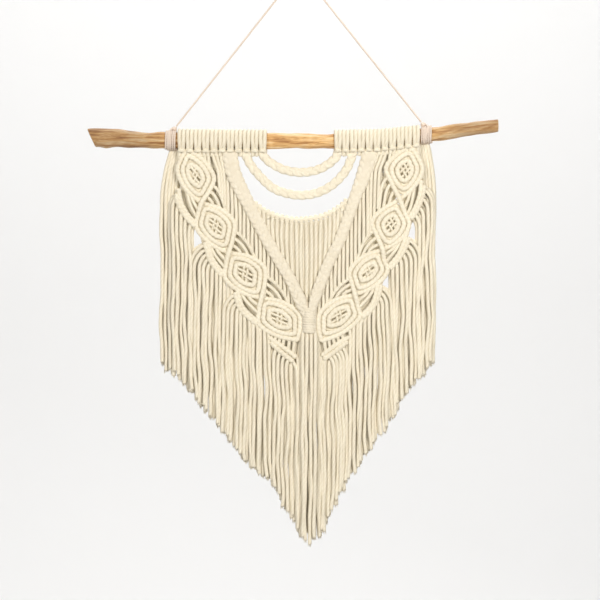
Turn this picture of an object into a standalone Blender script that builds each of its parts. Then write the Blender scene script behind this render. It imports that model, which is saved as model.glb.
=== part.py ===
"""Macrame wall hanging on a wooden rod, as closed solids at real size.

+Z is up and the front faces -Y. The origin is the point of the hook under the hanging cord.
Sizes in this file are in millimetres; the meshes are made in metres.
Cotton strands hang from lark's-head loops on the rod and are fused at knotted diamonds and bars.
"""

import math

import bmesh
import bpy

MM = 0.001

# Gaps between pieces
GAP = 0.3
SEAT = 0.4  # under a heading
EDGE_GAP = 0.6  # level, beside a slanting edge

# Cotton cord: width and pitch of the strands, and the layers of the flat work
STRAND = 3.8
PITCH = 4.2
Y_FRONT = -4.0
Y_PLATE_BACK = -1.0

# Rod: a bent branch, its centre line and radius from left to right
ROD_SIDES = 10
ROD_STEP = 19.0
ROD = (  # x, z, radius
    (-217.5, -169.0, 8.9),
    (-195.0, -169.5, 9.5),
    (-170.0, -170.8, 8.6),
    (-138.5, -172.0, 8.3),
    (-34.0, -172.5, 7.8),
    (35.0, -172.5, 7.7),
    (82.0, -171.5, 7.6),
    (136.5, -165.5, 7.2),
    (169.5, -161.0, 6.9),
    (202.5, -156.5, 6.8),
)
ROD_LEFT_SLANT = -0.45

# Sleeves of cord wound round the rod
BORE_GAP = 0.45
BORE_EVERY = 4  # outside stations for each station of the bore
SLEEVES = (  # name, x start, x end, wall, ridge height, ridge pitch, material
    ("heading_left", -125.6, -33.9, 4.0, 0.9, PITCH, "cotton"),
    ("heading_right", 34.9, 122.9, 4.0, 0.9, PITCH, "cotton"),
    ("hanger_tie_left", -138.8, -126.0, 2.4, 0.6, 2.1, "twine"),
    ("hanger_tie_right", 123.3, 136.2, 2.4, 0.6, 2.1, "twine"),
)

# Hanging cord: from the left knot over the hook to the right knot
TWINE = 2.0
TWINE_STEP = 5.8
HOOK_BEND = 4.0
KNOT_RADIUS = 3.2
KNOTS = {"hanger_tie_left": (-129.0, -160.0), "hanger_tie_right": (126.5, -155.6)}

# Swags: plaits that hang between the headings
SWAG_STEP = 3.6
SWAG_SIDES = 6
SWAG_RADIUS = 4.4
SWAG_DEPTH = 0.85  # of its height
SWAG_LUMP = 0.7
SWAGS = {
    "swag_upper": ((-39.0, -186.0), (-30.0, -195.0), (-15.5, -202.5), (1.0, -205.0),
                   (17.5, -202.5), (31.0, -195.0), (39.0, -186.0)),
    "swag_middle": ((-56.5, -186.0), (-46.0, -203.5), (-30.0, -219.5), (-15.5, -226.0), (1.0, -228.5),
                    (17.5, -226.0), (33.0, -218.0), (46.0, -204.5), (54.0, -186.0)),
}

# V bands: centre line and width, from the heading to the centre wrap
BAND_STEP = 9.0
BAND_FRONT = -8.4
BAND_FLAT = 0.6  # share of the width that is flat
BANDS = {
    "left": ((-72.0, -186.0, 16.5), (-67.5, -207.5, 16.0), (-55.0, -233.0, 14.0), (-46.5, -249.5, 13.5),
             (-31.0, -278.5, 12.6), (-14.0, -306.0, 12.0), (-1.0, -327.5, 11.0), (8.0, -343.0, 11.0)),
    "right": ((71.5, -186.0, 16.5), (63.5, -212.5, 15.0), (55.5, -233.0, 12.6), (48.5, -253.5, 11.8),
              (41.0, -274.0, 11.2), (30.0, -294.5, 11.2), (20.5, -315.5, 10.8), (10.0, -343.0, 11.0)),
}

# Diamonds of knotted rows, from the heading down: left, top, right and bottom corner of each
LEFT, TOP, RIGHT, BOTTOM = range(4)
DIAMONDS = {
    "left": (
        ((-125.5, -207.5), (-113.0, -186.0), (-88.5, -204.5), (-106.0, -233.5)),
        ((-106.0, -255.5), (-95.5, -236.0), (-68.0, -257.0), (-79.0, -285.5)),
        ((-76.0, -304.0), (-71.0, -286.5), (-36.0, -306.0), (-43.0, -335.0)),
        ((-40.5, -354.5), (-38.0, -333.0), (-3.5, -349.5), (-4.0, -379.0)),
    ),
    "right": (
        ((89.5, -201.5), (112.0, -181.8), (124.5, -204.5), (106.0, -230.5)),
        ((73.0, -255.5), (98.5, -233.0), (113.0, -261.0), (90.5, -284.5)),
        ((50.5, -303.0), (79.0, -282.5), (89.5, -303.0), (59.5, -331.0)),
        ((22.5, -350.0), (50.5, -332.0), (58.5, -349.0), (22.5, -379.0)),
    ),
}
DIAMOND_BULGE = 0.13  # of each side's length
DIAMOND_PROFILE = (  # share of the outline, y
    (0.96, Y_PLATE_BACK),
    (1.00, -4.4),
    (0.93, -7.6),
    (0.82, -6.2),
    (0.70, -8.0),
    (0.56, -6.3),
    (0.43, -8.2),
    (0.29, -6.4),
)
DIAMOND_CENTRE_FRONT = -8.2
DIAMOND_STAGGER = 0.3  # how far every other diamond stands forward
DROP_REACH = {"left": (-124.0, -6.0), "right": (123.0, 22.0)}  # outermost and innermost upright strand
FAN_SHARES = (0.143, 0.381, 0.619)  # along both diamonds' sides, from their outer corners
FAN_SINK = 1.2
DROP_SINK = 2.5

# Bars that carry the fringe: route, reach of the hanging strands in x, number of strands
BARS = {
    "fringe_left_1": (((-124.0, -235.0), (-119.0, -248.5), (-109.5, -259.0)), (-127.5, -114.9), 4),
    "fringe_left_2": (((-98.0, -282.2), (-94.0, -294.2), (-79.5, -305.2)), (-110.7, -81.3), 8),
    "fringe_left_3": (((-67.1, -329.0), (-62.1, -341.5), (-53.1, -351.0), (-43.6, -356.5)),
                      (-77.1, -43.5), 9),
    "fringe_left_4": (((-36.8, -368.0), (-24.8, -377.0), (-12.8, -383.5), (-0.3, -390.5)),
                      (-39.0, -3.0), 9),
    "fringe_right_1": (((128.2, -220.3), (123.7, -238.8), (118.7, -250.8)), (133.0, 124.6), 3),
    "fringe_right_2": (((110.2, -275.5), (106.2, -289.5), (93.7, -302.0)), (120.4, 95.2), 7),
    "fringe_right_3": (((82.9, -321.5), (77.9, -334.0), (62.9, -349.5)), (90.8, 62.4), 8),
    "fringe_right_4": (((56.0, -363.5), (43.5, -375.0), (21.0, -390.5)), (57.4, 23.8), 9),
}
BAR_HEIGHT = 4.5
ROOT_SHARE = 0.7  # of the pitch along a bar
LEAVE = 3.0  # drop from a strand's root to its shoulder, under a level bar
LEAVE_DROP = 1.5  # more drop under any bar
LEAVE_LEAN = 0.55  # share of the way outward that is made by then
SHOULDER = 2.6  # width of a strand there
BEND_DROP = 9.0  # where a strand hangs straight, below its root
BEND_SLOPE = 1.1  # more drop for each millimetre outward
CURVE_STEPS = 120
CUT_LINE = (  # x, z of the fringe's lower edge
    (-146.0, -401.5),
    (-128.5, -413.0),
    (-113.0, -430.5),
    (-95.5, -451.0),
    (-72.0, -480.5),
    (-51.5, -506.5),
    (-29.0, -526.0),
    (-18.5, -546.5),
    (-4.0, -567.0),
    (2.0, -582.5),
    (11.5, -586.5),
    (25.5, -572.0),
    (46.0, -526.0),
    (67.0, -495.0),
    (86.5, -469.5),
    (102.5, -439.5),
    (118.0, -421.0),
    (144.0, -392.5),
)

# Side strands, behind the wings: root's reach and hanging reach in x
SIDES = {
    "side_strands_left": ((-138.0, -120.5), (-144.0, -126.0)),
    "side_strands_right": ((120.5, 138.0), (123.5, 142.0)),
}
SIDE_COUNT = 5
SIDE_LAYERS = (1.2, 5.2)
LAYER_INSET = 0.1
SIDE_BEND = 22.0  # below the root, where most of the way outward is made
SIDE_LEAN = 0.6
SIDE_HANG = 60.0  # below the root, where the strands hang straight

# Third swag with its strands, centre wrap and tassel
CENTRE_SWAG = ((-41.5, -240.5), (-35.0, -245.0), (-24.5, -250.0), (-4.0, -253.5),
               (17.0, -251.5), (31.0, -246.5), (43.5, -238.0))
CENTRE_COUNT = 19
CENTRE_BAR = 5.5
CENTRE_BEND = 5.0
WRAP_CENTRE = (9.3, -3.0)
WRAP_SIZE = (8.3, 6.8)
WRAP_SPAN = (-343.4, -370.5)
WRAP_TURNS = 6
WRAP_RIDGE = 0.5
WRAP_SIDES = 10
TASSEL_REACH = (2.2, 16.4)
TASSEL_TOP = -370.9
TASSEL_COUNT = 4
TASSEL_STRAND = 3.1
TASSEL_NECK = 12.0
TASSEL_UNEVEN = 9.0
TASSEL_LAYERS = (-7.2, -3.0, 1.2)

WELD = 0.02
SHARP_ANGLE = 50.0
COLOURS = {  # colour, roughness
    "cotton": ((0.86, 0.79, 0.66, 1.0), 0.9),
    "twine": ((0.80, 0.68, 0.55, 1.0), 0.85),
    "wood": ((0.62, 0.38, 0.16, 1.0), 0.6),
}


# ---------------------------------------------------------------- curves

def hermite(a, b, slope_a, slope_b, t):
    """Point between a and b with the given slopes over the span, t from 0 to 1."""
    return (a * (2 * t ** 3 - 3 * t ** 2 + 1) + slope_a * (t ** 3 - 2 * t ** 2 + t)
            + b * (3 * t ** 2 - 2 * t ** 3) + slope_b * (t ** 3 - t ** 2))


def smooth_at(rows, x, column):
    """Value of a column at x on a smooth curve through rows sorted by their first column."""
    x = min(max(x, rows[0][0]), rows[-1][0])
    i = next(k for k in range(len(rows) - 1) if x <= rows[k + 1][0])
    before, a, b, after = (rows[min(max(k, 0), len(rows) - 1)] for k in (i - 1, i, i + 1, i + 2))
    span = b[0] - a[0]
    slope_a = (b[column] - before[column]) / (b[0] - before[0])
    slope_b = (after[column] - a[column]) / (after[0] - a[0])
    return hermite(a[column], b[column], slope_a * span, slope_b * span, (x - a[0]) / span)


def straight_at(rows, x):
    """Second column at x on the straight lines through rows sorted by their first column."""
    x = min(max(x, rows[0][0]), rows[-1][0])
    a, b = next((rows[k], rows[k + 1]) for k in range(len(rows) - 1) if x <= rows[k + 1][0])
    return a[1] + (b[1] - a[1]) * (x - a[0]) / (b[0] - a[0])


def curve_through(points, count, fine=12):
    """Points evenly spaced along a smooth curve through the given ones; extra columns follow along."""
    dense = []
    for i in range(len(points) - 1):
        before, a, b, after = (points[min(max(k, 0), len(points) - 1)] for k in (i - 1, i, i + 1, i + 2))
        for k in range(fine):
            dense.append(tuple(
                hermite(pa, pb, (pb - p0) / 2, (p3 - pa) / 2, k / fine)
                for p0, pa, pb, p3 in zip(before, a, b, after)))
    dense.append(tuple(points[-1]))
    lengths = [0.0]
    for a, b in zip(dense, dense[1:]):
        lengths.append(lengths[-1] + math.hypot(b[0] - a[0], b[1] - a[1]))
    spaced = []
    k = 0
    for i in range(count):
        want = lengths[-1] * i / (count - 1)
        while k < len(lengths) - 2 and lengths[k + 1] < want:
            k += 1
        share = (want - lengths[k]) / (lengths[k + 1] - lengths[k])
        spaced.append(tuple(a + (b - a) * share for a, b in zip(dense[k], dense[k + 1])))
    return spaced


def length_of(points):
    return sum(math.hypot(b[0] - a[0], b[1] - a[1]) for a, b in zip(points, points[1:]))


def direction_at(points, i):
    """Unit direction in the x, z plane of a run of points at its point i."""
    a, b = points[max(i - 1, 0)], points[min(i + 1, len(points) - 1)]
    run = math.hypot(b[0] - a[0], b[1] - a[1])
    return (b[0] - a[0]) / run, (b[1] - a[1]) / run


def rod_z(x):
    return smooth_at(ROD, x, 1)


def rod_radius(x):
    return smooth_at(ROD, x, 2)


def under_heading(x):
    """Height just below the heading's loops at x."""
    wall = SLEEVES[0][3]
    return rod_z(x) - rod_radius(x) - BORE_GAP - wall - SEAT


def cut_z(x):
    return straight_at(CUT_LINE, x)


# ---------------------------------------------------------------- meshes

def material(name):
    found = bpy.data.materials.get(name)
    if found:
        return found
    made = bpy.data.materials.new(name)
    made.use_nodes = True
    shader = made.node_tree.nodes["Principled BSDF"]
    colour, roughness = COLOURS[name]
    shader.inputs["Base Color"].default_value = colour
    shader.inputs["Roughness"].default_value = roughness
    shader.inputs["Metallic"].default_value = 0.0
    return made


def solid(name, points, faces, finish):
    """An object of flat triangles from points in millimetres and faces that turn outward."""
    mesh = bpy.data.meshes.new(name)
    mesh.from_pydata([(x * MM, y * MM, z * MM) for x, y, z in points], [], faces)
    shell = bmesh.new()
    shell.from_mesh(mesh)
    bmesh.ops.triangulate(shell, faces=shell.faces)
    shell.to_mesh(mesh)
    shell.free()
    mesh.shade_smooth()
    mesh.set_sharp_from_angle(angle=math.radians(SHARP_ANGLE))
    mesh.materials.append(material(finish))
    made = bpy.data.objects.new(name, mesh)
    bpy.context.scene.collection.objects.link(made)
    return made


def volume_of(points, faces):
    """Signed volume inside faces that all turn the same way."""
    total = 0.0
    for face in faces:
        ax, ay, az = points[face[0]]
        for second, third in zip(face[1:], face[2:]):
            bx, by, bz = points[second]
            cx, cy, cz = points[third]
            total += ax * (by * cz - bz * cy) + ay * (bz * cx - bx * cz) + az * (bx * cy - by * cx)
    return total / 6


def skin(rings, first=0, closed=False):
    """Faces over rings of equal point counts; the run is closed on itself or capped at both ends."""
    sides = len(rings[0])
    start = [first + i * sides for i in range(len(rings))]
    spans = list(zip(start, start[1:]))
    if closed:
        spans.append((start[-1], start[0]))
    faces = []
    for a, b in spans:
        for k in range(sides):
            n = (k + 1) % sides
            faces.append((a + k, a + n, b + n, b + k))
    if not closed:
        faces.append(tuple(reversed(range(start[0], start[0] + sides))))
        faces.append(tuple(range(start[-1], start[-1] + sides)))
    return faces


def outward(points, faces):
    """The same faces, all turned outward."""
    return faces if volume_of(points, faces) > 0 else [tuple(reversed(face)) for face in faces]


def loft(name, rings, finish, closed=False):
    points = [point for ring in rings for point in ring]
    return solid(name, points, outward(points, skin(rings, 0, closed)), finish)


def many(name, tubes, finish):
    """One object that holds several separate tubes, for use as an operand."""
    points, faces = [], []
    for rings in tubes:
        if volume_of([point for ring in rings for point in ring], skin(rings)) < 0:
            rings = rings[::-1]
        faces += skin(rings, len(points))
        points += [point for ring in rings for point in ring]
    return solid(name, points, faces, finish)


def fuse(base, operand, solver="EXACT"):
    """Adds the operand to the base by a union."""
    operand.hide_render = True
    operand.display_type = "WIRE"
    union = base.modifiers.new(operand.name, "BOOLEAN")
    union.operation = "UNION"
    union.solver = solver
    union.object = operand


def weld(base):
    """Closes the tiny edges that the unions leave."""
    merge = base.modifiers.new("weld", "WELD")
    merge.merge_threshold = WELD * MM


# ---------------------------------------------------------------- rod and what is wound on it

def round_ring(x, radius):
    """A ring round the rod's centre line, in the plane across x, with a point at its foot."""
    turns = [2 * math.pi * k / ROD_SIDES - math.pi / 2 for k in range(ROD_SIDES)]
    return [(x, radius * math.cos(turn), rod_z(x) + radius * math.sin(turn)) for turn in turns]


def make_rod():
    left, right = ROD[0][0], ROD[-1][0]
    steps = round((right - left) / ROD_STEP)
    rings = [round_ring(left + (right - left) * i / steps, rod_radius(left + (right - left) * i / steps))
             for i in range(steps + 1)]
    rings[0] = [(x + ROD_LEFT_SLANT * (z - rod_z(left) - ROD[0][2]), y, z) for x, y, z in rings[0]]
    loft("rod", rings, "wood")


def make_sleeve(name, start, end, wall, ridge, pitch, finish):
    """Cord wound round the rod: ridged outside, open inside for the rod."""
    turns = round((end - start) / pitch)
    stations = [start + (end - start) * i / (2 * turns) for i in range(2 * turns + 1)]
    outer = [round_ring(x, rod_radius(x) + BORE_GAP + wall - (0 if i % 2 else ridge))
             for i, x in enumerate(stations)]
    bore = stations[::-BORE_EVERY]
    inner = [round_ring(x, rod_radius(x) + BORE_GAP) for x in bore]
    if bore[-1] != start:
        inner.append(round_ring(start, rod_radius(start) + BORE_GAP))
    return loft(name, outer + inner, finish, closed=True)


def make_knot(tie):
    """The hanging cord's knot, a ball fused on top of its tie."""
    x, z = KNOTS[tie.name]
    bpy.ops.mesh.primitive_ico_sphere_add(
        subdivisions=1, radius=KNOT_RADIUS * MM, location=(x * MM, 0, z * MM))
    knot = bpy.context.object
    knot.name = tie.name + "_knot"
    knot.data.shade_smooth()
    knot.data.materials.append(material("twine"))
    fuse(tie, knot)
    weld(tie)


def hanger_route():
    """Centre line of the hanging cord: two straight legs and a round bend over the hook."""
    top = TWINE / 2
    centre = top - HOOK_BEND
    points = []
    for side, tie in ((-1, "hanger_tie_left"), (1, "hanger_tie_right")):
        x, z = KNOTS[tie]
        rise = math.atan2(centre - z, abs(x)) + math.asin(HOOK_BEND / math.hypot(x, centre - z))
        touch = (side * HOOK_BEND * math.sin(rise), centre + HOOK_BEND * math.cos(rise))
        run = math.hypot(touch[0] - x, touch[1] - z)
        away = (KNOT_RADIUS + GAP) / run
        first = (x + (touch[0] - x) * away, z + (touch[1] - z) * away)
        count = round(run / TWINE_STEP)
        leg = [(first[0] + (touch[0] - first[0]) * i / count, first[1] + (touch[1] - first[1]) * i / count)
               for i in range(count + 1)]
        points += leg if side < 0 else [(0.0, top)] + leg[::-1]
    return points


def make_hanger():
    curve = bpy.data.curves.new("hanger_cord", "CURVE")
    curve.dimensions = "3D"
    curve.bevel_depth = TWINE / 2 * MM
    curve.bevel_resolution = 2
    curve.use_fill_caps = True
    route = hanger_route()
    spline = curve.splines.new("POLY")
    spline.points.add(len(route) - 1)
    for point, (x, z) in zip(spline.points, route):
        point.co = (x * MM, 0, z * MM, 1)
    curve.materials.append(material("twine"))
    bpy.context.scene.collection.objects.link(bpy.data.objects.new("hanger_cord", curve))


# ---------------------------------------------------------------- plaits and bands

def make_swag(name, route):
    """A three-strand plait: a thick cord whose sides bulge in turn, cut level under the headings."""
    points = curve_through(route, round(length_of(route) / SWAG_STEP) + 1)
    rings = []
    for i, (x, z) in enumerate(points):
        dx, dz = direction_at(points, i)
        ends = i in (0, len(points) - 1)
        across = (math.copysign(1.0, -dz), 0.0) if ends else (-dz, dx)
        shift = 0 if ends else SWAG_LUMP * (1 if i % 2 else -1)
        z = min(under_heading(x - SWAG_RADIUS), under_heading(x + SWAG_RADIUS)) if ends else z
        ring = []
        for k in range(SWAG_SIDES):
            turn = 2 * math.pi * k / SWAG_SIDES
            u = SWAG_RADIUS * math.cos(turn) + shift
            y = Y_FRONT + SWAG_RADIUS * SWAG_DEPTH * math.sin(turn)
            ring.append((x + across[0] * u, y, z + across[1] * u))
        rings.append(ring)
    loft(name, rings, "cotton")


def band_rows(side):
    """Evenly spaced rows of a V band, with level ends: centre, half width and direction across."""
    route = BANDS[side]
    rows = curve_through(route, round(length_of(route) / BAND_STEP) + 1)
    out = []
    for i, (x, z, width) in enumerate(rows):
        dx, dz = direction_at(rows, i)
        across = (1.0, 0.0) if i in (0, len(rows) - 1) else (-dz, dx)
        if i == 0:
            z = min(under_heading(x - width / 2), under_heading(x + width / 2))
        out.append((x, z, width / 2, across))
    return out


def band_edge(side, right):
    """Points just outside the right or left edge of a V band, sorted by x."""
    sign = 1 if right else -1
    edge = [(x + across[0] * half * sign + EDGE_GAP * sign, z + across[1] * half * sign)
            for x, z, half, across in band_rows(side)]
    return sorted(edge)


def make_band():
    """Both arms of the V, knotted into one piece at their foot."""
    arms = []
    middle = (BAND_FRONT + Y_PLATE_BACK) / 2
    section = ((-1.0, middle), (-BAND_FLAT, BAND_FRONT), (BAND_FLAT, BAND_FRONT),
               (1.0, middle), (BAND_FLAT, Y_PLATE_BACK), (-BAND_FLAT, Y_PLATE_BACK))
    for side in BANDS:
        rings = [[(x + across[0] * half * u, y, z + across[1] * half * u) for u, y in section]
                 for x, z, half, across in band_rows(side)]
        arms.append(loft("v_band" if side == "left" else "v_band_right_arm", rings, "cotton"))
    fuse(arms[0], arms[1])


# ---------------------------------------------------------------- diamonds and the strands between them

def diamond_outline(corners, spread=1.0):
    """Sixteen points round a diamond with bulging sides and blunt corners."""
    cx = sum(x for x, _ in corners) / 4
    cz = sum(z for _, z in corners) / 4
    ring = []
    for i, (x, z) in enumerate(corners):
        nx, nz = corners[(i + 1) % 4]
        ring.append((x, z))
        out_x, out_z = (x + nx) / 2 - cx, (z + nz) / 2 - cz
        grow = DIAMOND_BULGE * math.hypot(nx - x, nz - z) / math.hypot(out_x, out_z)
        for share in (0.25, 0.5, 0.75):
            bulge = grow * math.sin(math.pi * share)
            ring.append((x + (nx - x) * share + out_x * bulge, z + (nz - z) * share + out_z * bulge))
    return [(cx + (x - cx) * spread, cz + (z - cz) * spread) for x, z in ring]


def make_diamond(name, corners, forward=0.0):
    """A knotted diamond: raised rows round a raised centre, flat at the back."""
    rings = [[(x, y - forward, z) for x, z in diamond_outline(corners, share)]
             for share, y in DIAMOND_PROFILE]
    points = [point for ring in rings for point in ring]
    sides = len(rings[0])
    faces = skin(rings)[:-1]
    cx, cz = (sum(value) / 4 for value in zip(*corners))
    points.append((cx, DIAMOND_CENTRE_FRONT, cz))
    last = (len(rings) - 1) * sides
    faces += [(last + k, last + (k + 1) % sides, len(points) - 1) for k in range(sides)]
    return solid(name, points, outward(points, faces), "cotton")


def strand_ring(x, y, z, across=(1.0, 0.0), width=STRAND):
    """Four corners of a strand: both sides, front and back."""
    half = width / 2
    return [(x - across[0] * half, y, z - across[1] * half), (x, y - STRAND / 2, z),
            (x + across[0] * half, y, z + across[1] * half), (x, y + STRAND / 2, z)]


def edge_point(corners, start, share):
    """Point on the straight side of a diamond that starts at the given corner."""
    x, z = corners[start]
    nx, nz = corners[(start + 1) % 4]
    return x + (nx - x) * share, z + (nz - z) * share


def fan(upper, lower, side, inner):
    """Strands that cross from one diamond's lower side to the next one's upper side."""
    on_right = (side == "left") == inner
    spans = []
    for share in FAN_SHARES:
        if on_right:
            a = edge_point(upper, RIGHT, share)
            b = edge_point(lower, TOP, 1 - share)
        else:
            a = edge_point(upper, BOTTOM, 1 - share)
            b = edge_point(lower, LEFT, share)
        dx, dz = b[0] - a[0], b[1] - a[1]
        run = math.hypot(dx, dz)
        spans.append((a, b, dx / run, dz / run))
    apart = min(abs((q[0] - p[0]) * dz - (q[1] - p[1]) * dx)
                for (a, b, dx, dz), (c, d, _, _) in zip(spans, spans[1:]) for p, q in ((a, c), (b, d)))
    width = min(STRAND, apart - GAP)
    tubes = []
    for a, b, dx, dz in spans:
        ends = ((a[0] - dx * FAN_SINK, a[1] - dz * FAN_SINK), (b[0] + dx * FAN_SINK, b[1] + dz * FAN_SINK))
        tubes.append([strand_ring(x, Y_FRONT, z, (-dz, dx), width) for x, z in ends])
    return tubes


def chain_edge(side):
    """The upper and inner side of a chain of diamonds, sorted by x."""
    outer, inner = (LEFT, RIGHT) if side == "left" else (RIGHT, LEFT)
    first = DIAMONDS[side][0]
    return sorted([first[outer], first[TOP]] + [diamond[inner] for diamond in DIAMONDS[side]])


def drop_strands(side):
    """Upright strands from the heading and the V band down to the chain of diamonds."""
    sign = -1 if side == "left" else 1
    band = band_edge(side, right=side == "right")
    chain = chain_edge(side)
    half = STRAND / 2
    corner = abs(BANDS[side][0][0]) + BANDS[side][0][2] / 2 + EDGE_GAP
    tubes = []
    x, inner_end = DROP_REACH[side]
    while x * sign > sign * inner_end:
        top = [under_heading(at) if abs(at) > corner else straight_at(band, at) - GAP
               for at in (x - half, x, x + half)]
        foot = straight_at(chain, x) - DROP_SINK
        if min(top) - foot > 2 * STRAND:
            upper = [(x - half, Y_FRONT, top[0]), (x, Y_FRONT - half, top[1]),
                     (x + half, Y_FRONT, top[2]), (x, Y_FRONT + half, top[1])]
            tubes.append([upper, strand_ring(x, Y_FRONT, foot)])
        x -= sign * PITCH
    return tubes


def make_wing(side):
    """A chain of four diamonds with the strands that lead to them, fused into one piece."""
    diamonds = DIAMONDS[side]
    name = "wing_" + side
    base = make_diamond(name, diamonds[0])
    for i, corners in enumerate(diamonds[1:], 1):
        fuse(base, make_diamond(f"{name}_diamond_{i + 1}", corners, DIAMOND_STAGGER * (i % 2)), "MANIFOLD")
    fuse(base, many(name + "_drops", drop_strands(side), "cotton"), "MANIFOLD")
    for i, (upper, lower) in enumerate(zip(diamonds, diamonds[1:]), 1):
        fuse(base, many(f"{name}_fan_inner_{i}", fan(upper, lower, side, True), "cotton"), "MANIFOLD")
        fuse(base, many(f"{name}_fan_outer_{i}", fan(upper, lower, side, False), "cotton"), "MANIFOLD")
    weld(base)


# ---------------------------------------------------------------- bars with strands

def comb(name, stations, lines, paths, height, cut=None, width=STRAND):
    """A bar with strands that grow from its lower face.

    stations are the bar's (x, z, down x, down z) along its lower edge, two for each strand and one at
    each end; lines are the y of the lower face's divisions, two for each layer; paths(column, layer)
    gives a strand's points, or nothing where there is no room for one.
    """
    points, faces = [], []
    for x, z, dx, dz in stations:
        points += [(x - dx * height, y, z - dz * height) for y in (lines[0], lines[-1])]
        points += [(x, y, z) for y in lines]
    row = 2 + len(lines)
    last = (len(stations) - 1) * row
    turn = 1 if stations[-1][0] > stations[0][0] else -1
    faces.append(tuple(range(0, 2)) + tuple(range(row - 1, 1, -1)))
    faces.append(tuple(range(last, last + 2)) + tuple(range(last + row - 1, last + 1, -1)))
    for s in range(len(stations) - 1):
        a, b = s * row, (s + 1) * row
        faces.append((a, b, b + 1, a + 1))
        faces.append((a, b, b + 2, a + 2))
        faces.append((a + 1, b + 1, b + row - 1, a + row - 1))
        for line in range(len(lines) - 1):
            near, far = 2 + line, 3 + line
            root = (a + near, b + near, b + far, a + far)
            if s % 2 == 0 or line % 2:
                faces.append(root)
                continue
            y = (lines[line] + lines[line + 1]) / 2
            run = paths(s // 2, line // 2) or ()
            for i in range(1, len(run)):
                dx, dz = direction_at(run, i)
                across = (-dz * turn, dx * turn)
                ring = strand_ring(run[i][0], y, run[i][1], across, SHOULDER if i == 1 else width)
                if cut and i == len(run) - 1:
                    ring = [(x, ring_y, cut(x)) for x, ring_y, _ in ring]
                first = len(points)
                points += ring
                faces += [(root[k], root[(k + 1) % 4], first + (k + 1) % 4, first + k) for k in range(4)]
                root = tuple(range(first, first + 4))
            faces.append(root)
    made = solid(name, points, faces, "cotton")
    shell = bmesh.new()
    shell.from_mesh(made.data)
    bmesh.ops.recalc_face_normals(shell, faces=shell.faces)
    shell.to_mesh(made.data)
    shell.free()
    return made


def bar_stations(route, count, down_side):
    """Divisions along a bar's route, with the direction its strands leave in; down_side is 1 or -1."""
    edges = [0.0]
    for i in range(count):
        edges += [(i + (1 - ROOT_SHARE) / 2) / count, (i + (1 + ROOT_SHARE) / 2) / count]
    edges.append(1.0)
    fine = curve_through(route, CURVE_STEPS + 1)
    out = []
    for share in edges:
        i = round(share * CURVE_STEPS)
        dx, dz = direction_at(fine, i)
        out.append((fine[i][0], fine[i][1], dz * down_side, -dx * down_side))
    return out


def make_fringe(name, route, reach, count):
    """A knotted bar along a diamond's outer side, whose strands bend out and hang to the cut line."""
    side = 1 if reach[1] > reach[0] else -1
    stations = bar_stations(route, count, side)
    half = STRAND / 2
    lines = (Y_FRONT - half, Y_FRONT + half)

    def path(column, layer):
        (ax, az, _, adz), (bx, bz, _, bdz) = stations[2 * column + 1], stations[2 * column + 2]
        x, z, dz = (ax + bx) / 2, (az + bz) / 2, (adz + bdz) / 2
        hang = reach[0] + (reach[1] - reach[0]) * column / (count - 1)
        tip = cut_z(hang)
        out = (x + (hang - x) * LEAVE_LEAN, z + dz * LEAVE - LEAVE_DROP)
        bend = z - BEND_DROP - BEND_SLOPE * abs(hang - x)
        return (x, z), out, (hang, bend), (hang, (bend + tip) / 2), (hang, tip)

    comb(name, stations, lines, path, BAR_HEIGHT)


def level_stations(start, end, z, count):
    edges = [start]
    width = (end - start) / count
    for i in range(count):
        edges += [start + (i + (1 - ROOT_SHARE) / 2) * width, start + (i + (1 + ROOT_SHARE) / 2) * width]
    edges.append(end)
    return [(x, z, 0.0, -1.0) for x in edges]


def layer_lines(layers):
    half = STRAND / 2 - LAYER_INSET
    return tuple(y + shift for y in layers for shift in (-half, half))


def make_side_strands(name, root, reach):
    """Two layers of long strands from the outer end of a heading."""
    top = min(under_heading(x) for x in root) - BAR_HEIGHT
    stations = level_stations(root[0], root[1], top, SIDE_COUNT)

    def path(column, layer):
        x = (stations[2 * column + 1][0] + stations[2 * column + 2][0]) / 2
        hang = reach[0] + (reach[1] - reach[0]) * column / (SIDE_COUNT - 1)
        tip = cut_z(hang)
        return (x, top), (x + (hang - x) * SIDE_LEAN, top - SIDE_BEND), (hang, top - SIDE_HANG), (hang, tip)

    comb(name, stations, layer_lines(SIDE_LAYERS), path, BAR_HEIGHT)


def make_centre_strands():
    """The third swag, a thick cord, and the strands that hang from it down to the V band."""
    stations = bar_stations(CENTRE_SWAG, CENTRE_COUNT, -1)
    stations = [(x, z, 0.0, -1.0) for x, z, _, _ in stations]
    left, right = band_edge("left", True), band_edge("right", False)
    half = STRAND / 2

    def foot(x):
        return max(straight_at(left, x), straight_at(right, x)) + GAP

    def path(column, layer):
        x = (stations[2 * column + 1][0] + stations[2 * column + 2][0]) / 2
        z = (stations[2 * column + 1][1] + stations[2 * column + 2][1]) / 2
        if z - max(foot(x - half), foot(x + half)) < 2 * CENTRE_BEND:
            return None
        return (x, z), (x, z - CENTRE_BEND), (x, foot(x))

    comb("centre_strands", stations, (Y_FRONT - half, Y_FRONT + half), path, CENTRE_BAR, cut=foot)


def make_wrap():
    """The wrapped knot at the foot of the V: turns of cord round the gathered strands."""
    cx, cy = WRAP_CENTRE
    top, foot = WRAP_SPAN
    count = 2 * WRAP_TURNS + 1
    rings = []
    for i in range(count):
        ridge = 0.0 if i % 2 else -WRAP_RIDGE
        z = top + (foot - top) * i / (count - 1)
        rings.append([(cx + (WRAP_SIZE[0] + ridge) * math.cos(2 * math.pi * k / WRAP_SIDES),
                       cy + (WRAP_SIZE[1] + ridge) * math.sin(2 * math.pi * k / WRAP_SIDES), z)
                      for k in range(WRAP_SIDES)])
    loft("centre_wrap", rings, "cotton")


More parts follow.
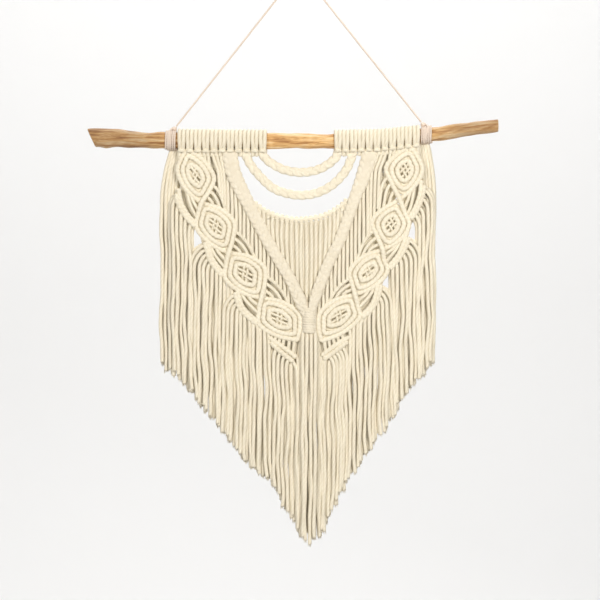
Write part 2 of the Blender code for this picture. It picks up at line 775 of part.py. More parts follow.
def make_tassel():
    """Three layers of strands from a flat head under the centre wrap, uneven at their tips."""
    foot = TASSEL_TOP - BAR_HEIGHT
    stations = level_stations(TASSEL_REACH[0], TASSEL_REACH[1], foot, TASSEL_COUNT)

    def path(column, layer):
        x = (stations[2 * column + 1][0] + stations[2 * column + 2][0]) / 2
        z = foot
        tip = cut_z(x) + TASSEL_UNEVEN * ((column + 2 * layer) % 3)
        return (x, z), (x, z - TASSEL_NECK), (x, (z + tip) / 2), (x, tip)

    comb("centre_tassel", stations, layer_lines(TASSEL_LAYERS), path, BAR_HEIGHT, width=TASSEL_STRAND)


# ---------------------------------------------------------------- the whole

for thing in list(bpy.data.objects):
    bpy.data.objects.remove(thing, do_unlink=True)

make_rod()
for row in SLEEVES:
    sleeve = make_sleeve(*row)
    if sleeve.name in KNOTS:
        make_knot(sleeve)
make_hanger()
for swag, swag_route in SWAGS.items():
    make_swag(swag, swag_route)
make_band()
for wing_side in DIAMONDS:
    make_wing(wing_side)
for bar, (bar_route, bar_reach, bar_count) in BARS.items():
    make_fringe(bar, bar_route, bar_reach, bar_count)
for strands, (strands_root, strands_reach) in SIDES.items():
    make_side_strands(strands, strands_root, strands_reach)
make_centre_strands()
make_wrap()
make_tassel()
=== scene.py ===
"""Looks of a macrame wall hanging: each cord of the knotted work, its hanging twine and its branch.

Tables are in millimetres in the part's frame: +Z up, the front faces -Y, and the origin is the point on the
hook under the hanging twine. Meshes are made in metres.
"""

from math import acos, asin, atan2, cos, hypot, inf, pi, prod, sin

import bpy
import numpy as np
from numpy.linalg import norm
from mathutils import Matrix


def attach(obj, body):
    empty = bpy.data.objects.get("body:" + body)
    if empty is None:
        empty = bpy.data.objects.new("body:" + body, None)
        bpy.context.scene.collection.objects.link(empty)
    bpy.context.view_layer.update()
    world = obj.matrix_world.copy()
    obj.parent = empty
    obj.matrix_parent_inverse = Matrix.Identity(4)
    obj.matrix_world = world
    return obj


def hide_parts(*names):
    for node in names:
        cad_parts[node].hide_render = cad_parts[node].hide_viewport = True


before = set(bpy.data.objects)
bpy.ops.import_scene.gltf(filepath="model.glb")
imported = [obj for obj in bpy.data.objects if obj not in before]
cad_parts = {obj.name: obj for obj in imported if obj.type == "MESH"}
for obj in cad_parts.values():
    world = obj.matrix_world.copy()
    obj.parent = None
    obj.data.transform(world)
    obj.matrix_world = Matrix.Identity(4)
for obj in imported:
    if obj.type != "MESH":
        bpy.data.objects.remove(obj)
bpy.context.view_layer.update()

MM = 0.001
SEED = 11
rng = np.random.default_rng(SEED)
MIRROR = {"left": -1, "right": 1}  # the way outwards in x

# Photograph's framing: the picture's width and centre in the plane of the work, and the camera
PICTURE_WIDTH = 616.2
PICTURE_CENTRE = (0, -335.8)
CAMERA_AWAY = 2400
SENSOR = 36
CLIP_END = 60  # metres

# Studio in metres and watts: place, target, size, power and colour of each light
LIGHTS = {
    "key": ((0.75, -1.4, 0.3), (0, 0, -0.3), 0.4, 17.6, (1, 0.97, 0.915)),
    "second": ((-1.45, -2.2, 0.7), (0, 0, -0.33), 0.6, 31.5, (1, 0.97, 0.92)),
    "rear": ((0.8, 2, 1.1), (0, 0, -0.33), 1.6, 30, (1, 0.98, 0.95)),
    "wash": ((0, 1.2, 2.4), (0, 3.8, -0.4), 2.4, 106, (1, 1, 1)),
}
AMBIENT = (1, 0.985, 0.96, 1), 0.24  # colour, strength
FLOOR_Z, FLOOR_FRONT, FLOOR_HALF, FLOOR_BEND = -1.5, -9, 8, 1.2
WALL_Y, WALL_TOP = 3.8, 4.5

# Spacing of the points along a cord
ROW_STEP = 0.85  # rows of hitches
TWINE_STEP = 1.2
LOOP_STEP = 1.3  # loops and plaits
FINE_STEP = 1.6  # strands in front
COARSE_STEP = 3  # strands behind
WANDER_STEP = 9  # before the curve is smoothed

# Cords: radii of 4 mm cord, pressed or loose, and its surface
STRAND_RADIUS = 1.95
BACK_RADIUS = 2.5  # the second layer of the fringe, wide enough to close its gaps
LEAD_RADIUS = 1.8  # fans and upright strands
LEAD_PITCH = 4.15
HIDDEN_RADIUS = 1.9
PANEL_RADIUS = 2
FIBRE_COUNT, FIBRE_RADII = 7, (0.32, 0.26, 0.1)  # loose fibres at a cut end
PLIES = 3
PLY_PITCH = 17  # length of a full turn of the plies
PLY_DEPTH = 0.014  # share of the radius
PLAIN_CREST, GROOVE_CREST = 0.8, 0.35  # crest on a plain cord and in grooves; the material paints shade into the colour where crest is low
CORDS_APART = 37  # in the fibres' pattern, so that no two cords look the same
SWAY = ((1, 1), (0.47, 0.4), (0.23, 0.12))  # waves of a hanging strand: length and size, as shares
Y_WORK = -4.2  # middle of the front layer
BEHIND = 3.9  # from there to the fringe's second layer

# Rod: centre line and radius from left to right
ROD = np.array((
    (-217.5, -169, 8.9), (-195, -169.5, 9.5), (-170, -170.8, 8.6), (-138.5, -172, 8.3),
    (-34, -172.5, 7.8), (35, -172.5, 7.7), (82, -171.5, 7.6), (136.5, -165.5, 7.2),
    (169.5, -161, 6.9), (202.5, -156.5, 6.8),
))
ROD_LEFT_SLANT, ROD_SLANT_REACH = -0.45, 26
ROD_WAVES = ((61, 1, 0.35), (37, 2, 0.28), (23, 3, 0.18), (90, 2, 0.3), (14, 5, 0.09))  # length, turns, size
ROD_KNOTS = ((-199, -1.7, 1.3, 6), (178, -1.3, 0.8, 5), (8, 2, 0.6, 5))  # x, angle, size, width
ROD_END = ((1, 0), (0.93, 0.9), (0.5, 1.1))  # rings of a cut end: share of the radius, how far out

# Headings and ties: x start, x end
HEADINGS = {"left": (-125.6, -33.9), "right": (34.9, 122.9)}
HEADING_LEGS = 22
HEADING_WALL = 4.4  # from the rod's surface to a heading's lower edge
# Angles round the rod, 0 in front, and how far a loop's two legs close up there
LOOP_TURNS = ((-0.62, 0.42), (-0.25, 0.14), *((t, 0) for t in (0.15, 0.6, 1.05, 1.5, 1.95, 2.4, 2.9, 3.35, 3.8)))
TIES = {"left": (-138.8, -126), "right": (123.3, 136.2)}
KNOTS = {"left": (-129, -160), "right": (126.5, -155.6)}
TWINE = 2
TWINE_LOOKS = {"sides": 9, "pitch": 9, "ply": 0.05}
HOOK_BEND = 4
KNOT_RADIUS = 3.2
GAP = 0.3

SWAGS = {  # x, z
    "upper": ((-39, -184), (-36, -190), (-28, -196.5), (-15.5, -202.5), (1, -205), (17.5, -202.5), (29, -196.5),
        (36.5, -190), (39, -184)),
    "middle": ((-56.5, -184), (-53.5, -192), (-46, -203.5), (-30, -219.5), (-15.5, -226), (1, -228.5),
        (17.5, -226), (33, -218), (46, -204.5), (52, -192), (54, -184)),
}

BANDS = {  # x, z, width
    "left": ((-72.5, -184.5, 16.5), (-71.5, -190, 16.5), (-67.5, -207.5, 16), (-55, -233, 14),
        (-46.5, -249.5, 13.5), (-31, -278.5, 12.8), (-14.6, -306, 12.4), (-9.3, -315.3, 12.6),
        (-3.4, -327.6, 13.4), (2, -339.5, 13.2), (5.6, -348, 11), (6.8, -355, 9)),
    "right": ((72, -184.5, 16.5), (70.5, -190, 16.5), (63.5, -212.5, 15), (55.5, -233, 12.6),
        (48.5, -253.5, 12.2), (41, -274, 12.2), (30.8, -294.5, 12.4), (22.3, -315.3, 12.6), (16.6, -330.7, 12),
        (13.6, -341, 10.4), (12.8, -352, 8)),
}

BAND_DEPTH = (-355, -347.5, -341.5, -300), (-4.4, -6.2, -7.8, -5.2)  # z, then y there
BAND_PHASE = {"left": 0.4, "right": 1.9}  # where the plait's pattern starts

# Diamonds from the heading down: left, top, right and bottom corner of the outer row
DIAMONDS = {
    "left": (
        ((-125.3, -204.4), (-115, -180.5), (-88.3, -209.5), (-102.7, -236.2)),
        ((-105.8, -261.9), (-98.6, -235.2), (-67.8, -255.7), (-75, -287.6)),
        ((-76, -314.3), (-70.9, -286.5), (-37, -301.9), (-41.1, -334.8)),
        ((-41.1, -361.5), (-38, -332.7), (-2.1, -349.2), (-2.6, -376.9)),
    ),
    "right": (
        ((88.3, -200.3), (113, -178.5), (125.3, -203.3), (105.8, -230)),
        ((73.9, -255.7), (98.6, -235.2), (111.9, -258.8), (90.4, -284.5)),
        ((51.3, -306), (79.1, -283.5), (89.3, -307.1), (59.6, -330.7)),
        ((21.3, -348.2), (53.4, -329.7), (60.6, -354.3), (22, -377.9)),
    ),
}
LEFT, TOP, RIGHT, BOTTOM = range(4)
BULGE = 0.085  # of a diamond's sides, as a share of their length
ROW_INSET = 4.5  # from row to row
ROW_Y = (-4.6, -5.2, -5.6)  # from the outer row in
ROW_RADIUS = 2.6
ROW_PITCH = 4.3  # from hitch to hitch
ROW_LUMPS = (0.2, ROW_PITCH, 1)
BAR_PITCH = 4.6
CROSSING_Y = (-2, 1.7)  # how far a row goes in front of the other where they cross, and behind it
CARRIER_Y, WEAVE_Y, WEAVE_BACK_Y = -2.2, -5.4, 2.6
WEAVE_PITCH = 4.3
WEAVE_RADIUS = 1.25
WEAVE_TUCK = (0.07, 0.14)  # reach under the inner row at its short and long sides, as a share of the side

# Bars: route, reach of the fringe in x, number of strands
BARS = {
    "left_1": (((-127, -227.5), (-125, -236.2), (-121, -244.4), (-116, -251.6), (-107.5, -260.5)),
        (-131, -113.5), 5),
    "left_2": (((-97.6, -277.3), (-95.5, -284.5), (-93.3, -292.7), (-88.3, -300.9), (-79.6, -311)),
        (-112.5, -81.3), 8),
    "left_3": (((-66.8, -328.6), (-64.7, -335.8), (-61.6, -344), (-55.5, -351.2), (-44, -360.5)), (-78, -43.5), 9),
    "left_4": (((-29.5, -379.5), (-22.5, -386.5), (-14.8, -392.6), (-7.5, -398.6)), (-40.5, -3.4), 9),
    "right_1": (((127.3, -218.8), (126, -228), (122.8, -237.2), (118.8, -245.5), (114, -252.5)), (135.5, 122.5), 4),
    "right_2": (((111.5, -272.2), (108.5, -280.4), (104.5, -288.6), (99.4, -295.8), (92.6, -303.5)),
        (123, 95.2), 7),
    "right_3": (((82.8, -321), (80.6, -331), (77, -340), (71.2, -347.6), (64.2, -353.6)), (93.5, 62.4), 8),
    "right_4": (((48.3, -378.5), (39, -386), (30.8, -392), (24.5, -396.5)), (58.5, 21.9), 10),
}
INNER_BARS = {  # the second bar above the last one of each side
    "left_4": ((-31, -374.5), (-20.5, -381.9), (-11, -388.9), (-4.2, -394.6)),
    "right_4": ((49.7, -374), (38.6, -380.9), (28, -388.1), (23, -392.9)),
}
LINKS = {  # strands from the last diamond to the bar below it: y, radius, then each x
    "left": ((-3.9, 1.9, -26, -22, -17.9, -12.4, -7.2), (1, 2.3, -24, -19.5, -15, -10.4, -5.8, -28.5),
        (1.4, 2.3, -32.2), (-0.6, 2, -2.2), (1.6, 2.3, 1.2)),
    "right": ((-3.9, 1.9, 44.5, 40, 35.6, 31, 26.6), (1, 2.3, 42.2, 37.8, 33.4, 28.9, 24.6),
        (0.6, 2.4, 46.6, 50.6), (-0.6, 2, 21.6), (1.6, 2.3, 18.6)),
}
LINK_SLANT = 1.6
FANS = {  # inner fans and outer fans: share of the upper and lower diamond's side with its step, and tangents
    True: ((0.29, 0.22), (0.27, 0.22), (0.85, -0.5), (0.35, -1.15)),
    False: ((0.29, 0.2), (0.36, 0.26), (-0.2, -0.95), (-0.65, -0.75)),
}
BETWEEN = {  # strands that hang straight from a diamond's lower side, behind a fringe: x, z
    "left_2": ((-77.3, -312.5), (-73.3, -315.5), (-69.3, -318.5)),
    "left_4": ((-8.7, -399.5),),
    "right_4": ((30, -397.5),),
}
ARCHED = {  # last bars: where the arched strands end and the straight ones start, and how far each leans out
    "left_4": (-14, -3.4, 4),
    "right_4": (35, 24.9, 6.5),
}
LAST_STRANDS = {  # strands from the foot of the last diamond, beside the tassel: route in x, z
    "left_4": (((-0.6, -361), (1, -370.5), (0.9, -380), (0.7, -390), (0.6, -402)), ((-5.6, -392), (-2.8, -395),
        (-1.9, -401), (-1.5, -412))),
    "right_4": (((20.3, -358), (18.4, -368), (18.5, -380), (18.8, -391), (19, -402)), ((24.8, -390.5),
        (22.2, -393.5), (21.2, -400), (21, -412))),
}
CUT_LINE = np.array((  # x, z of the fringe's lower edge
    (-146, -401.5), (-128.5, -413), (-113, -430.5), (-95.5, -451), (-72, -480.5), (-51.5, -506.5),
    (-29, -526), (-18.5, -546.5), (-4, -567), (2, -582.5), (11.5, -586.5), (25.5, -572),
    (46, -526), (67, -495), (86.5, -469.5), (102.5, -439.5), (118, -421), (144, -392.5),
))

# Side strands: reach in x at the top and where they hang, and y of each layer
SIDES = {"left": ((-131, -118), (-143.5, -125.5)), "right": ((117, 130), (122.5, 139))}
SIDE_COUNT = 5
SIDE_LAYERS = (1.6, 4.8, 7.8)

# Centre: the third swag in x, z and its strands, the wrap round the foot of the V, and the tassel under it
CENTRE_SWAG = ((-47, -236), (-41.5, -240.8), (-34, -245.5), (-22.5, -250), (-4, -253.5),
               (17, -251.5), (31, -246.5), (43, -238.6), (48.5, -233))
CENTRE_COUNT = 21
WRAP_CENTRE = (9.3, -3.4)  # x, y
WRAP_SIZE = (5.9, 4.4)
WRAP_SPAN = (-341.5, -370.5)
WRAP_PITCH = 2.9
TASSEL_REACH = (2.6, 16)
TASSEL_LAYERS = (-8, -4.2, -0.4, 3)

# Colours, and the scale of the fibres' pattern across and along a cord
COTTON_LIGHT, COTTON_DARK = (0.92, 0.862, 0.718, 1), (0.68, 0.585, 0.42, 1)
# Painted shade: a darker copy of the cotton's light colour, for the V's plaits and the wrap
SHADED_COTTON_LIGHT = (0.875, 0.81, 0.68, 1)
TWINE_LIGHT, TWINE_DARK = (0.88, 0.76, 0.66, 1), (0.62, 0.49, 0.39, 1)
CORD_FIBRES, HITCH_FIBRES, TWINE_FIBRES = (2.6, 2.6, 0.22), (0.5, 0.5, 2.8), (4, 4, 0.4)
WOOD_STREAKS = ((0.34, (0.36, 0.16, 0.05, 1)), (0.44, (0.66, 0.36, 0.13, 1)), (0.53, (0.91, 0.58, 0.25, 1)),
                (0.64, (1, 0.77, 0.46, 1)))
WOOD_GRAIN, WOOD_KNOT = (0.40, 0.21, 0.08, 1), (0.20, 0.085, 0.03, 1)
WOOD_RINGS = (0.60, 0.38, 0.18, 1), (0.80, 0.60, 0.36, 1)
END_SHADE_TINT, END_SHADE_SPAN = (0.5, 0.47, 0.475, 1), (110, 175)  # painted shade at the ends: tint, x where it starts and where full


# ---- curves

def rod_z(x):
    return np.interp(x, ROD[:, 0], ROD[:, 1])


def rod_radius(x):
    return np.interp(x, ROD[:, 0], ROD[:, 2])


def under_heading(x):
    """Height of the lower edge of a heading."""
    return rod_z(x) - rod_radius(x) - HEADING_WALL


def cut_z(x):
    """Height of the fringe's lower edge."""
    return float(np.interp(x, CUT_LINE[:, 0], CUT_LINE[:, 1]))


def height_at(x, edge):
    """Height at x of an edge that is given as points x, z in any order."""
    edge = np.asarray(edge)
    edge = edge[np.argsort(edge[:, 0])]
    return float(np.interp(x, edge[:, 0], edge[:, 1]))


def run_along(path):
    """Length gone at each point of a path."""
    return np.concatenate(((0,), np.cumsum(norm(np.diff(path[:, :3], axis=0), axis=1))))


def resampled(path, count):
    """A path with count points at even distances."""
    gone = run_along(path)
    want = np.linspace(0, gone[-1], count)
    return np.column_stack([np.interp(want, gone, column) for column in path.T])


def unit_rows(rows):
    return rows / norm(rows, axis=1)[:, None]


def point_at(line, share):
    """Point at a share of the way along a line of evenly spaced points."""
    at = share * (len(line) - 1)
    i = min(int(at), len(line) - 2)
    return line[i] + (line[i + 1] - line[i]) * (at - i)


def spline(points, step, closed=False):
    """Points about a step apart on a smooth curve through the given ones, which may have any columns."""
    p = np.asarray(points, float)
    if closed:
        p = np.vstack((p[-1], p, p[0], p[1]))
    else:
        p = np.vstack((2 * p[0] - p[1], p, 2 * p[-1] - p[-2]))
    t = np.linspace(0, 1, 16, endpoint=False)[:, None]
    runs = []
    for i in range(1, len(p) - 2):
        a, b, c, d = p[i - 1], p[i], p[i + 1], p[i + 2]
        runs.append(0.5 * (2 * b + (c - a) * t + (2 * a - 5 * b + 4 * c - d) * t ** 2
                           + (3 * b - a - 3 * c + d) * t ** 3))
    dense = np.vstack(runs + [p[-2][None]])
    even = resampled(dense, max(int(round(run_along(dense)[-1] / step)), 3) + 1)
    return even[:-1] if closed else even


def hermite(a, b, leave, arrive, count=12):
    """Curve from a to b with the given tangents."""
    a, b, leave, arrive = (np.asarray(v, float) for v in (a, b, leave, arrive))
    t = np.linspace(0, 1, count)[:, None]
    return (a * (2 * t ** 3 - 3 * t ** 2 + 1) + leave * (t ** 3 - 2 * t ** 2 + t)
            + b * (3 * t ** 2 - 2 * t ** 3) + arrive * (t ** 3 - t ** 2))


def lift(flat, y):
    """Points in x, z as points in x, y, z."""
    flat = np.asarray(flat, float)
    return np.column_stack((flat[:, 0], np.broadcast_to(y, len(flat)), flat[:, 1]))


def wander(length, reach, wave, place=None):
    """A smooth offset along a cord, none at its start; cords near each other in place wave together."""
    n = max(int(round(length / WANDER_STEP)), 3) + 1
    s = np.linspace(0, length, n)
    out = np.zeros(n)
    for share, size in SWAY:
        turn = rng.uniform(0, 2 * pi) if place is None else 0.06 * place / share + rng.uniform(-1, 1)
        out += size * np.sin(2 * pi * s / (wave * share) + turn)
    return s, (out - out[0]) * reach * np.clip(s / (0.35 * wave), 0, 1)


# ---- materials

def nodes_of(name):
    made = bpy.data.materials.new(name)
    made.use_nodes = True
    return made, made.node_tree, made.node_tree.nodes["Principled BSDF"]


def feed(tree, socket, value):
    """Links an input to another node's output, or sets it to a plain value."""
    if isinstance(value, bpy.types.NodeSocket):
        tree.links.new(value, socket)
    else:
        socket.default_value = value


def node(tree, kind, **settings):
    """A node with its settings. A key that names an input, or is i with its number, feeds that input."""
    made = tree.nodes.new("ShaderNode" + kind)
    for key, value in settings.items():
        if hasattr(made, key):
            setattr(made, key, value)
        else:
            feed(tree, made.inputs[int(key[1:]) if key[1:].isdigit() else key], value)
    return made


def maths(tree, operation, a, b=0, c=0):
    return node(tree, "Math", operation=operation, i0=a, i1=b, i2=c).outputs[0]


def scaled(tree, value, factor, more=0):
    return maths(tree, "MULTIPLY_ADD", value, factor, more)


def mixed(tree, factor, a, b, blend="MIX"):
    return node(tree, "Mix", data_type="RGBA", blend_type=blend, i0=factor, i6=a, i7=b).outputs[2]


def stored(tree, name, output):
    """What a mesh holds at each point under a name."""
    return node(tree, "Attribute", attribute_name=name).outputs[output]


def stretched(tree, lay, scale):
    return node(tree, "Mapping", Vector=lay, Scale=scale).outputs[0]


def noise(tree, place, scale=1, detail=2, roughness=0.5, distortion=0):
    return node(tree, "TexNoise", Vector=place, Scale=scale, Detail=detail, Roughness=roughness,
                Distortion=distortion).outputs["Fac"]


def set_shader(tree, shader, bump, height, **inputs):
    """Feeds a shader's inputs; bump is the relief's strength and its depth in metres."""
    relief = node(tree, "Bump", Strength=bump[0], Distance=bump[1], Height=height).outputs[0]
    for name, value in {"Normal": relief, **inputs}.items():
        feed(tree, shader.inputs[name.replace("_", " ")], value)


def cord_material(name, light, dark, fibre_scale, bump, sheen):
    """Twisted fibres: 'lay' is the place in the straightened cord, 'crest' is low in grooves and 1 on plies."""
    made, tree, shader = nodes_of(name)
    lay, crest = stored(tree, "lay", "Vector"), stored(tree, "crest", "Fac")
    fibres = noise(tree, stretched(tree, lay, fibre_scale), detail=3, roughness=0.6)
    blotch = noise(tree, stretched(tree, lay, (0.05, 0.05, 0.028)))
    # Painted shade: the colour darkens where crest is low, in the grooves between plies and hitches and at cut
    # tips.
    painted_groove_shade = maths(tree, "SMOOTH_MIN", scaled(tree, crest, 0.75, 0.3), 1, 0.1)
    tone = scaled(tree, fibres, 0.5, scaled(tree, blotch, 0.5, -0.05))
    tone = scaled(tree, maths(tree, "MULTIPLY", tone, painted_groove_shade), 1.5, 0.1)
    tone = node(tree, "Clamp", Value=tone).outputs[0]
    set_shader(tree, shader, (bump, 0.0005), scaled(tree, fibres, 0.6, scaled(tree, crest, 0.4)),
               Base_Color=mixed(tree, tone, dark, light), Roughness=scaled(tree, fibres, 0.15, 0.8),
               Sheen_Weight=sheen, Sheen_Roughness=0.5, Specular_IOR_Level=0.2)
    return made


def wood_material():
    """Peeled branch: long streaks, fine grain, a few dark knots, painted shade at both ends, rings where it is cut.
    """
    made, tree, shader = nodes_of("peeled_branch")
    lay, end = stored(tree, "lay", "Vector"), stored(tree, "crest", "Fac")
    streaks = noise(tree, stretched(tree, lay, (0.026, 0.3, 0.3)), 1, 4, 0.62, 0.35)
    grain = noise(tree, stretched(tree, lay, (0.07, 1.5, 1.5)), 1, 3, 0.6)
    ramp = node(tree, "ValToRGB", Fac=streaks)
    stops = ramp.color_ramp.elements
    stops.remove(stops[0])
    stops[0].position, stops[0].color = WOOD_STREAKS[0]
    for place, colour in WOOD_STREAKS[1:]:
        stops.new(place).color = colour
    body = mixed(tree, scaled(tree, grain, 1.4, 0.05), WOOD_GRAIN, ramp.outputs["Color"])
    cells = node(tree, "TexVoronoi", Vector=stretched(tree, lay, (0.022, 0.07, 0.07)), Scale=1)
    knots = node(tree, "MapRange", Value=cells.outputs["Distance"], i1=0.03, i2=0.16, i3=0.75, i4=0)
    body = mixed(tree, knots.outputs[0], body, WOOD_KNOT)
    # Painted shade: the wood's colour darkens towards both ends of the rod.
    along = node(tree, "SeparateXYZ", Vector=lay).outputs[0]
    end_shade = node(tree, "MapRange", Value=maths(tree, "ABSOLUTE", along), i1=END_SHADE_SPAN[0], i2=END_SHADE_SPAN[1],
                i3=0, i4=0.85, interpolation_type="SMOOTHSTEP")
    body = mixed(tree, end_shade.outputs[0], body, END_SHADE_TINT, "MULTIPLY")
    across = stretched(tree, lay, (0, 1, 1))
    away = node(tree, "VectorMath", operation="LENGTH", i0=across).outputs["Value"]
    rings = scaled(tree, maths(tree, "ADD", away, noise(tree, across, 0.35)), 5.2)
    cut = mixed(tree, scaled(tree, maths(tree, "SINE", rings), 0.3, 0.5), *WOOD_RINGS)
    set_shader(tree, shader, (0.5, 0.0008), scaled(tree, streaks, 0.6, scaled(tree, grain, 0.4)),
               Base_Color=mixed(tree, end, body, cut), Roughness=scaled(tree, grain, 0.25, 0.42),
               Specular_IOR_Level=0.4)
    return made


def placed(name, data):
    """An object of the scene that holds the given data."""
    made = bpy.data.objects.new(name, data)
    bpy.context.scene.collection.objects.link(made)
    return made


cotton = cord_material("cotton_cord", COTTON_LIGHT, COTTON_DARK, CORD_FIBRES, bump=0.5, sheen=0.15)
hitched = cord_material("cotton_hitches", COTTON_LIGHT, COTTON_DARK, HITCH_FIBRES, bump=0.6, sheen=0.15)
# Painted shade: the same cotton, darker, on the V's plaits and the wrap
shaded_cotton = cord_material("cotton_painted_shade", SHADED_COTTON_LIGHT, COTTON_DARK, CORD_FIBRES, bump=0.5, sheen=0.15)
twine = cord_material("thin_twine", TWINE_LIGHT, TWINE_DARK, TWINE_FIBRES, bump=0.5, sheen=0.1)
wood = wood_material()


# ---- cords as meshes

class Skein:
    """Cords that are gathered into one mesh."""

    def __init__(self):
        self.points, self.faces, self.lay, self.crest = [], [], [], []
        self.count = 0
        self.cords = 0

    def put(self, points, lay, crest):
        """Takes in rings of points and returns their numbers in the same arrangement."""
        shape = points.shape[:-1]
        numbers = self.count + np.arange(prod(shape)).reshape(shape)
        self.points.append(points.reshape(-1, 3))
        self.lay.append(lay.reshape(-1, 3))
        self.crest.append(np.broadcast_to(crest, shape).reshape(-1))
        self.count += numbers.size
        return numbers

    def join(self, *corners):
        """Faces whose corners are given as equal arrays of point numbers."""
        self.faces += [tuple(face) for face in np.stack(corners, axis=-1).reshape(-1, len(corners))]

    def tube(self, below, above):
        self.join(below, np.roll(below, -1, axis=-1), np.roll(above, -1, axis=-1), above)

    def cap(self, ring, tip, turned):
        """Faces from a ring to a tip; turned swaps their sides."""
        after = np.roll(ring, -1)
        self.join(*((after, ring) if turned else (ring, after)), np.full(len(ring), tip))

    def add(self, path, radius, sides=12, depth=1, lump=None, pitch=PLY_PITCH, ply=0, closed=False, end=0.55):
        """A cord along path. lump is (height, pitch, slant) of the hitches on it. That height, ply for the depth of
        its plies, depth for front to back and end for its tips are shares of the radius."""
        path = np.asarray(path, float)[:, :3]
        if closed:
            ahead = np.roll(path, -1, axis=0) - np.roll(path, 1, axis=0)
            path, ahead = np.vstack((path, path[:1])), np.vstack((ahead, ahead[:1]))
        else:
            ahead = np.gradient(path, axis=0)
        ahead = unit_rows(ahead)
        n = len(path)
        up = np.array((0, 1, 0))
        if abs(ahead[0] @ up) > 0.8:
            up = np.array((1, 0, 0))
        normals = np.empty((n, 3))
        for i in range(n):
            up = up - (up @ ahead[i]) * ahead[i]
            up /= norm(up)
            normals[i] = up
        sideways = np.cross(ahead, normals)
        gone = run_along(path)[:, None]
        base = 2 * pi * np.arange(sides)[None] / sides
        radius = np.broadcast_to(radius, n).astype(float)[:, None]
        # crest sets painted shade: the material darkens the colour where it is low, between hitches and between
        # plies
        if lump:
            height, lump_pitch, slant = lump
            if closed:
                lump_pitch = gone[-1, 0] / max(round(gone[-1, 0] / lump_pitch), 1)
            phase = gone / lump_pitch + slant * base / (2 * pi)
            crest = np.abs(np.sin(pi * phase)) ** 0.6
            size, turn = radius * (1 - height + height * crest), base
            crest = GROOVE_CREST + (1 - GROOVE_CREST) * crest
        else:
            size = radius * (1 + ply * np.cos(PLIES * base))
            turn = base + 2 * pi * gone / pitch
            crest = PLAIN_CREST + ((1 - PLAIN_CREST) * np.cos(PLIES * base) if ply else 0)
        self.cords += 1
        place = gone + CORDS_APART * self.cords
        lay = np.stack(np.broadcast_arrays(np.cos(base) * radius, np.sin(base) * radius, place), axis=-1)
        index = self.put(path[:, None] + normals[:, None] * (size * np.cos(turn) * depth)[..., None]
                         + sideways[:, None] * (size * np.sin(turn))[..., None], lay, crest)
        self.tube(index[:-1], index[1:])
        if not closed:
            for last, way in ((0, -1), (-1, 1)):
                tip = path[last] + ahead[last] * way * float(radius[last, 0]) * end
                tip_lay = np.array((0, 0, place[last, 0]))
                # The tip gets the crest of grooves, so painted shade darkens it.
                self.cap(index[last], self.put(tip[None], tip_lay, GROOVE_CREST)[0], way < 0)
        return self

    def lead(self, path, radius, step=FINE_STEP):
        """A cord of a front layer, with its plies."""
        self.add(spline(path, step), radius, ply=PLY_DEPTH)

    def back(self, path, radius, step=COARSE_STEP):
        """A cord of a hidden layer, plain and coarse."""
        self.add(spline(path, step), radius, sides=9)

    def make(self, name, material, replaces, slot="cotton"):
        """The finished piece, in place of its CAD nodes."""
        mesh = bpy.data.meshes.new(name)
        mesh.from_pydata((np.vstack(self.points) * MM).tolist(), [], self.faces)
        mesh.attributes.new("lay", "FLOAT_VECTOR", "POINT").data.foreach_set(
            "vector", np.vstack(self.lay).astype(np.float32).ravel())
        mesh.attributes.new("crest", "FLOAT", "POINT").data.foreach_set(
            "value", np.concatenate(self.crest).astype(np.float32))
        mesh.shade_smooth()
        mesh.materials.append(material)
        made = placed(name, mesh)
        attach(made, "root")
        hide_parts(*replaces)
        return made


# ---- camera, light and stage

def make_stage():
    """Camera in the photograph's place, studio lights, and a pale floor that bends up behind."""
    scene = bpy.context.scene
    lens = bpy.data.cameras.new("camera")
    lens.sensor_width = SENSOR
    lens.lens = SENSOR * CAMERA_AWAY / PICTURE_WIDTH
    lens.clip_end = CLIP_END
    camera = placed("camera", lens)
    camera.location = (PICTURE_CENTRE[0] * MM, -CAMERA_AWAY * MM, PICTURE_CENTRE[1] * MM)
    camera.rotation_euler = (pi / 2, 0, 0)
    scene.camera = camera
    scene.view_settings.view_transform = "Standard"
    world = bpy.data.worlds.new("studio")
    world.use_nodes = True
    background = world.node_tree.nodes["Background"].inputs
    background["Color"].default_value, background["Strength"].default_value = AMBIENT
    scene.world = world
    for name, (place, target, size, power, colour) in LIGHTS.items():
        light = bpy.data.lights.new(name, "AREA")
        light.size, light.energy, light.color = size, power, colour
        lamp = placed(name, light)
        lamp.location = place
        lamp.visible_camera = False
        aim = np.array(target) - np.array(place)
        lamp.rotation_euler = (acos(-aim[2] / norm(aim)), 0, atan2(aim[1], aim[0]) - pi / 2)
    bend = [(WALL_Y - FLOOR_BEND + FLOOR_BEND * sin(a), FLOOR_Z + FLOOR_BEND - FLOOR_BEND * cos(a))
            for a in np.linspace(0.1, pi / 2, 14)]
    profile = [(FLOOR_FRONT, FLOOR_Z), (WALL_Y - FLOOR_BEND, FLOOR_Z), *bend, (WALL_Y, WALL_TOP)]
    mesh = bpy.data.meshes.new("floor")
    points = [(x, y, z) for y, z in profile for x in (-FLOOR_HALF, FLOOR_HALF)]
    faces = [(2 * i, 2 * i + 1, 2 * i + 3, 2 * i + 2) for i in range(len(profile) - 1)]
    mesh.from_pydata(points, [], faces)
    mesh.shade_smooth()
    pale, tree, shader = nodes_of("pale_floor")
    feed(tree, shader.inputs["Base Color"], (0.85, 0.85, 0.85, 1))
    feed(tree, shader.inputs["Roughness"], 0.9)
    mesh.materials.append(pale)
    floor = placed("floor", mesh)


# ---- rod, twine and headings

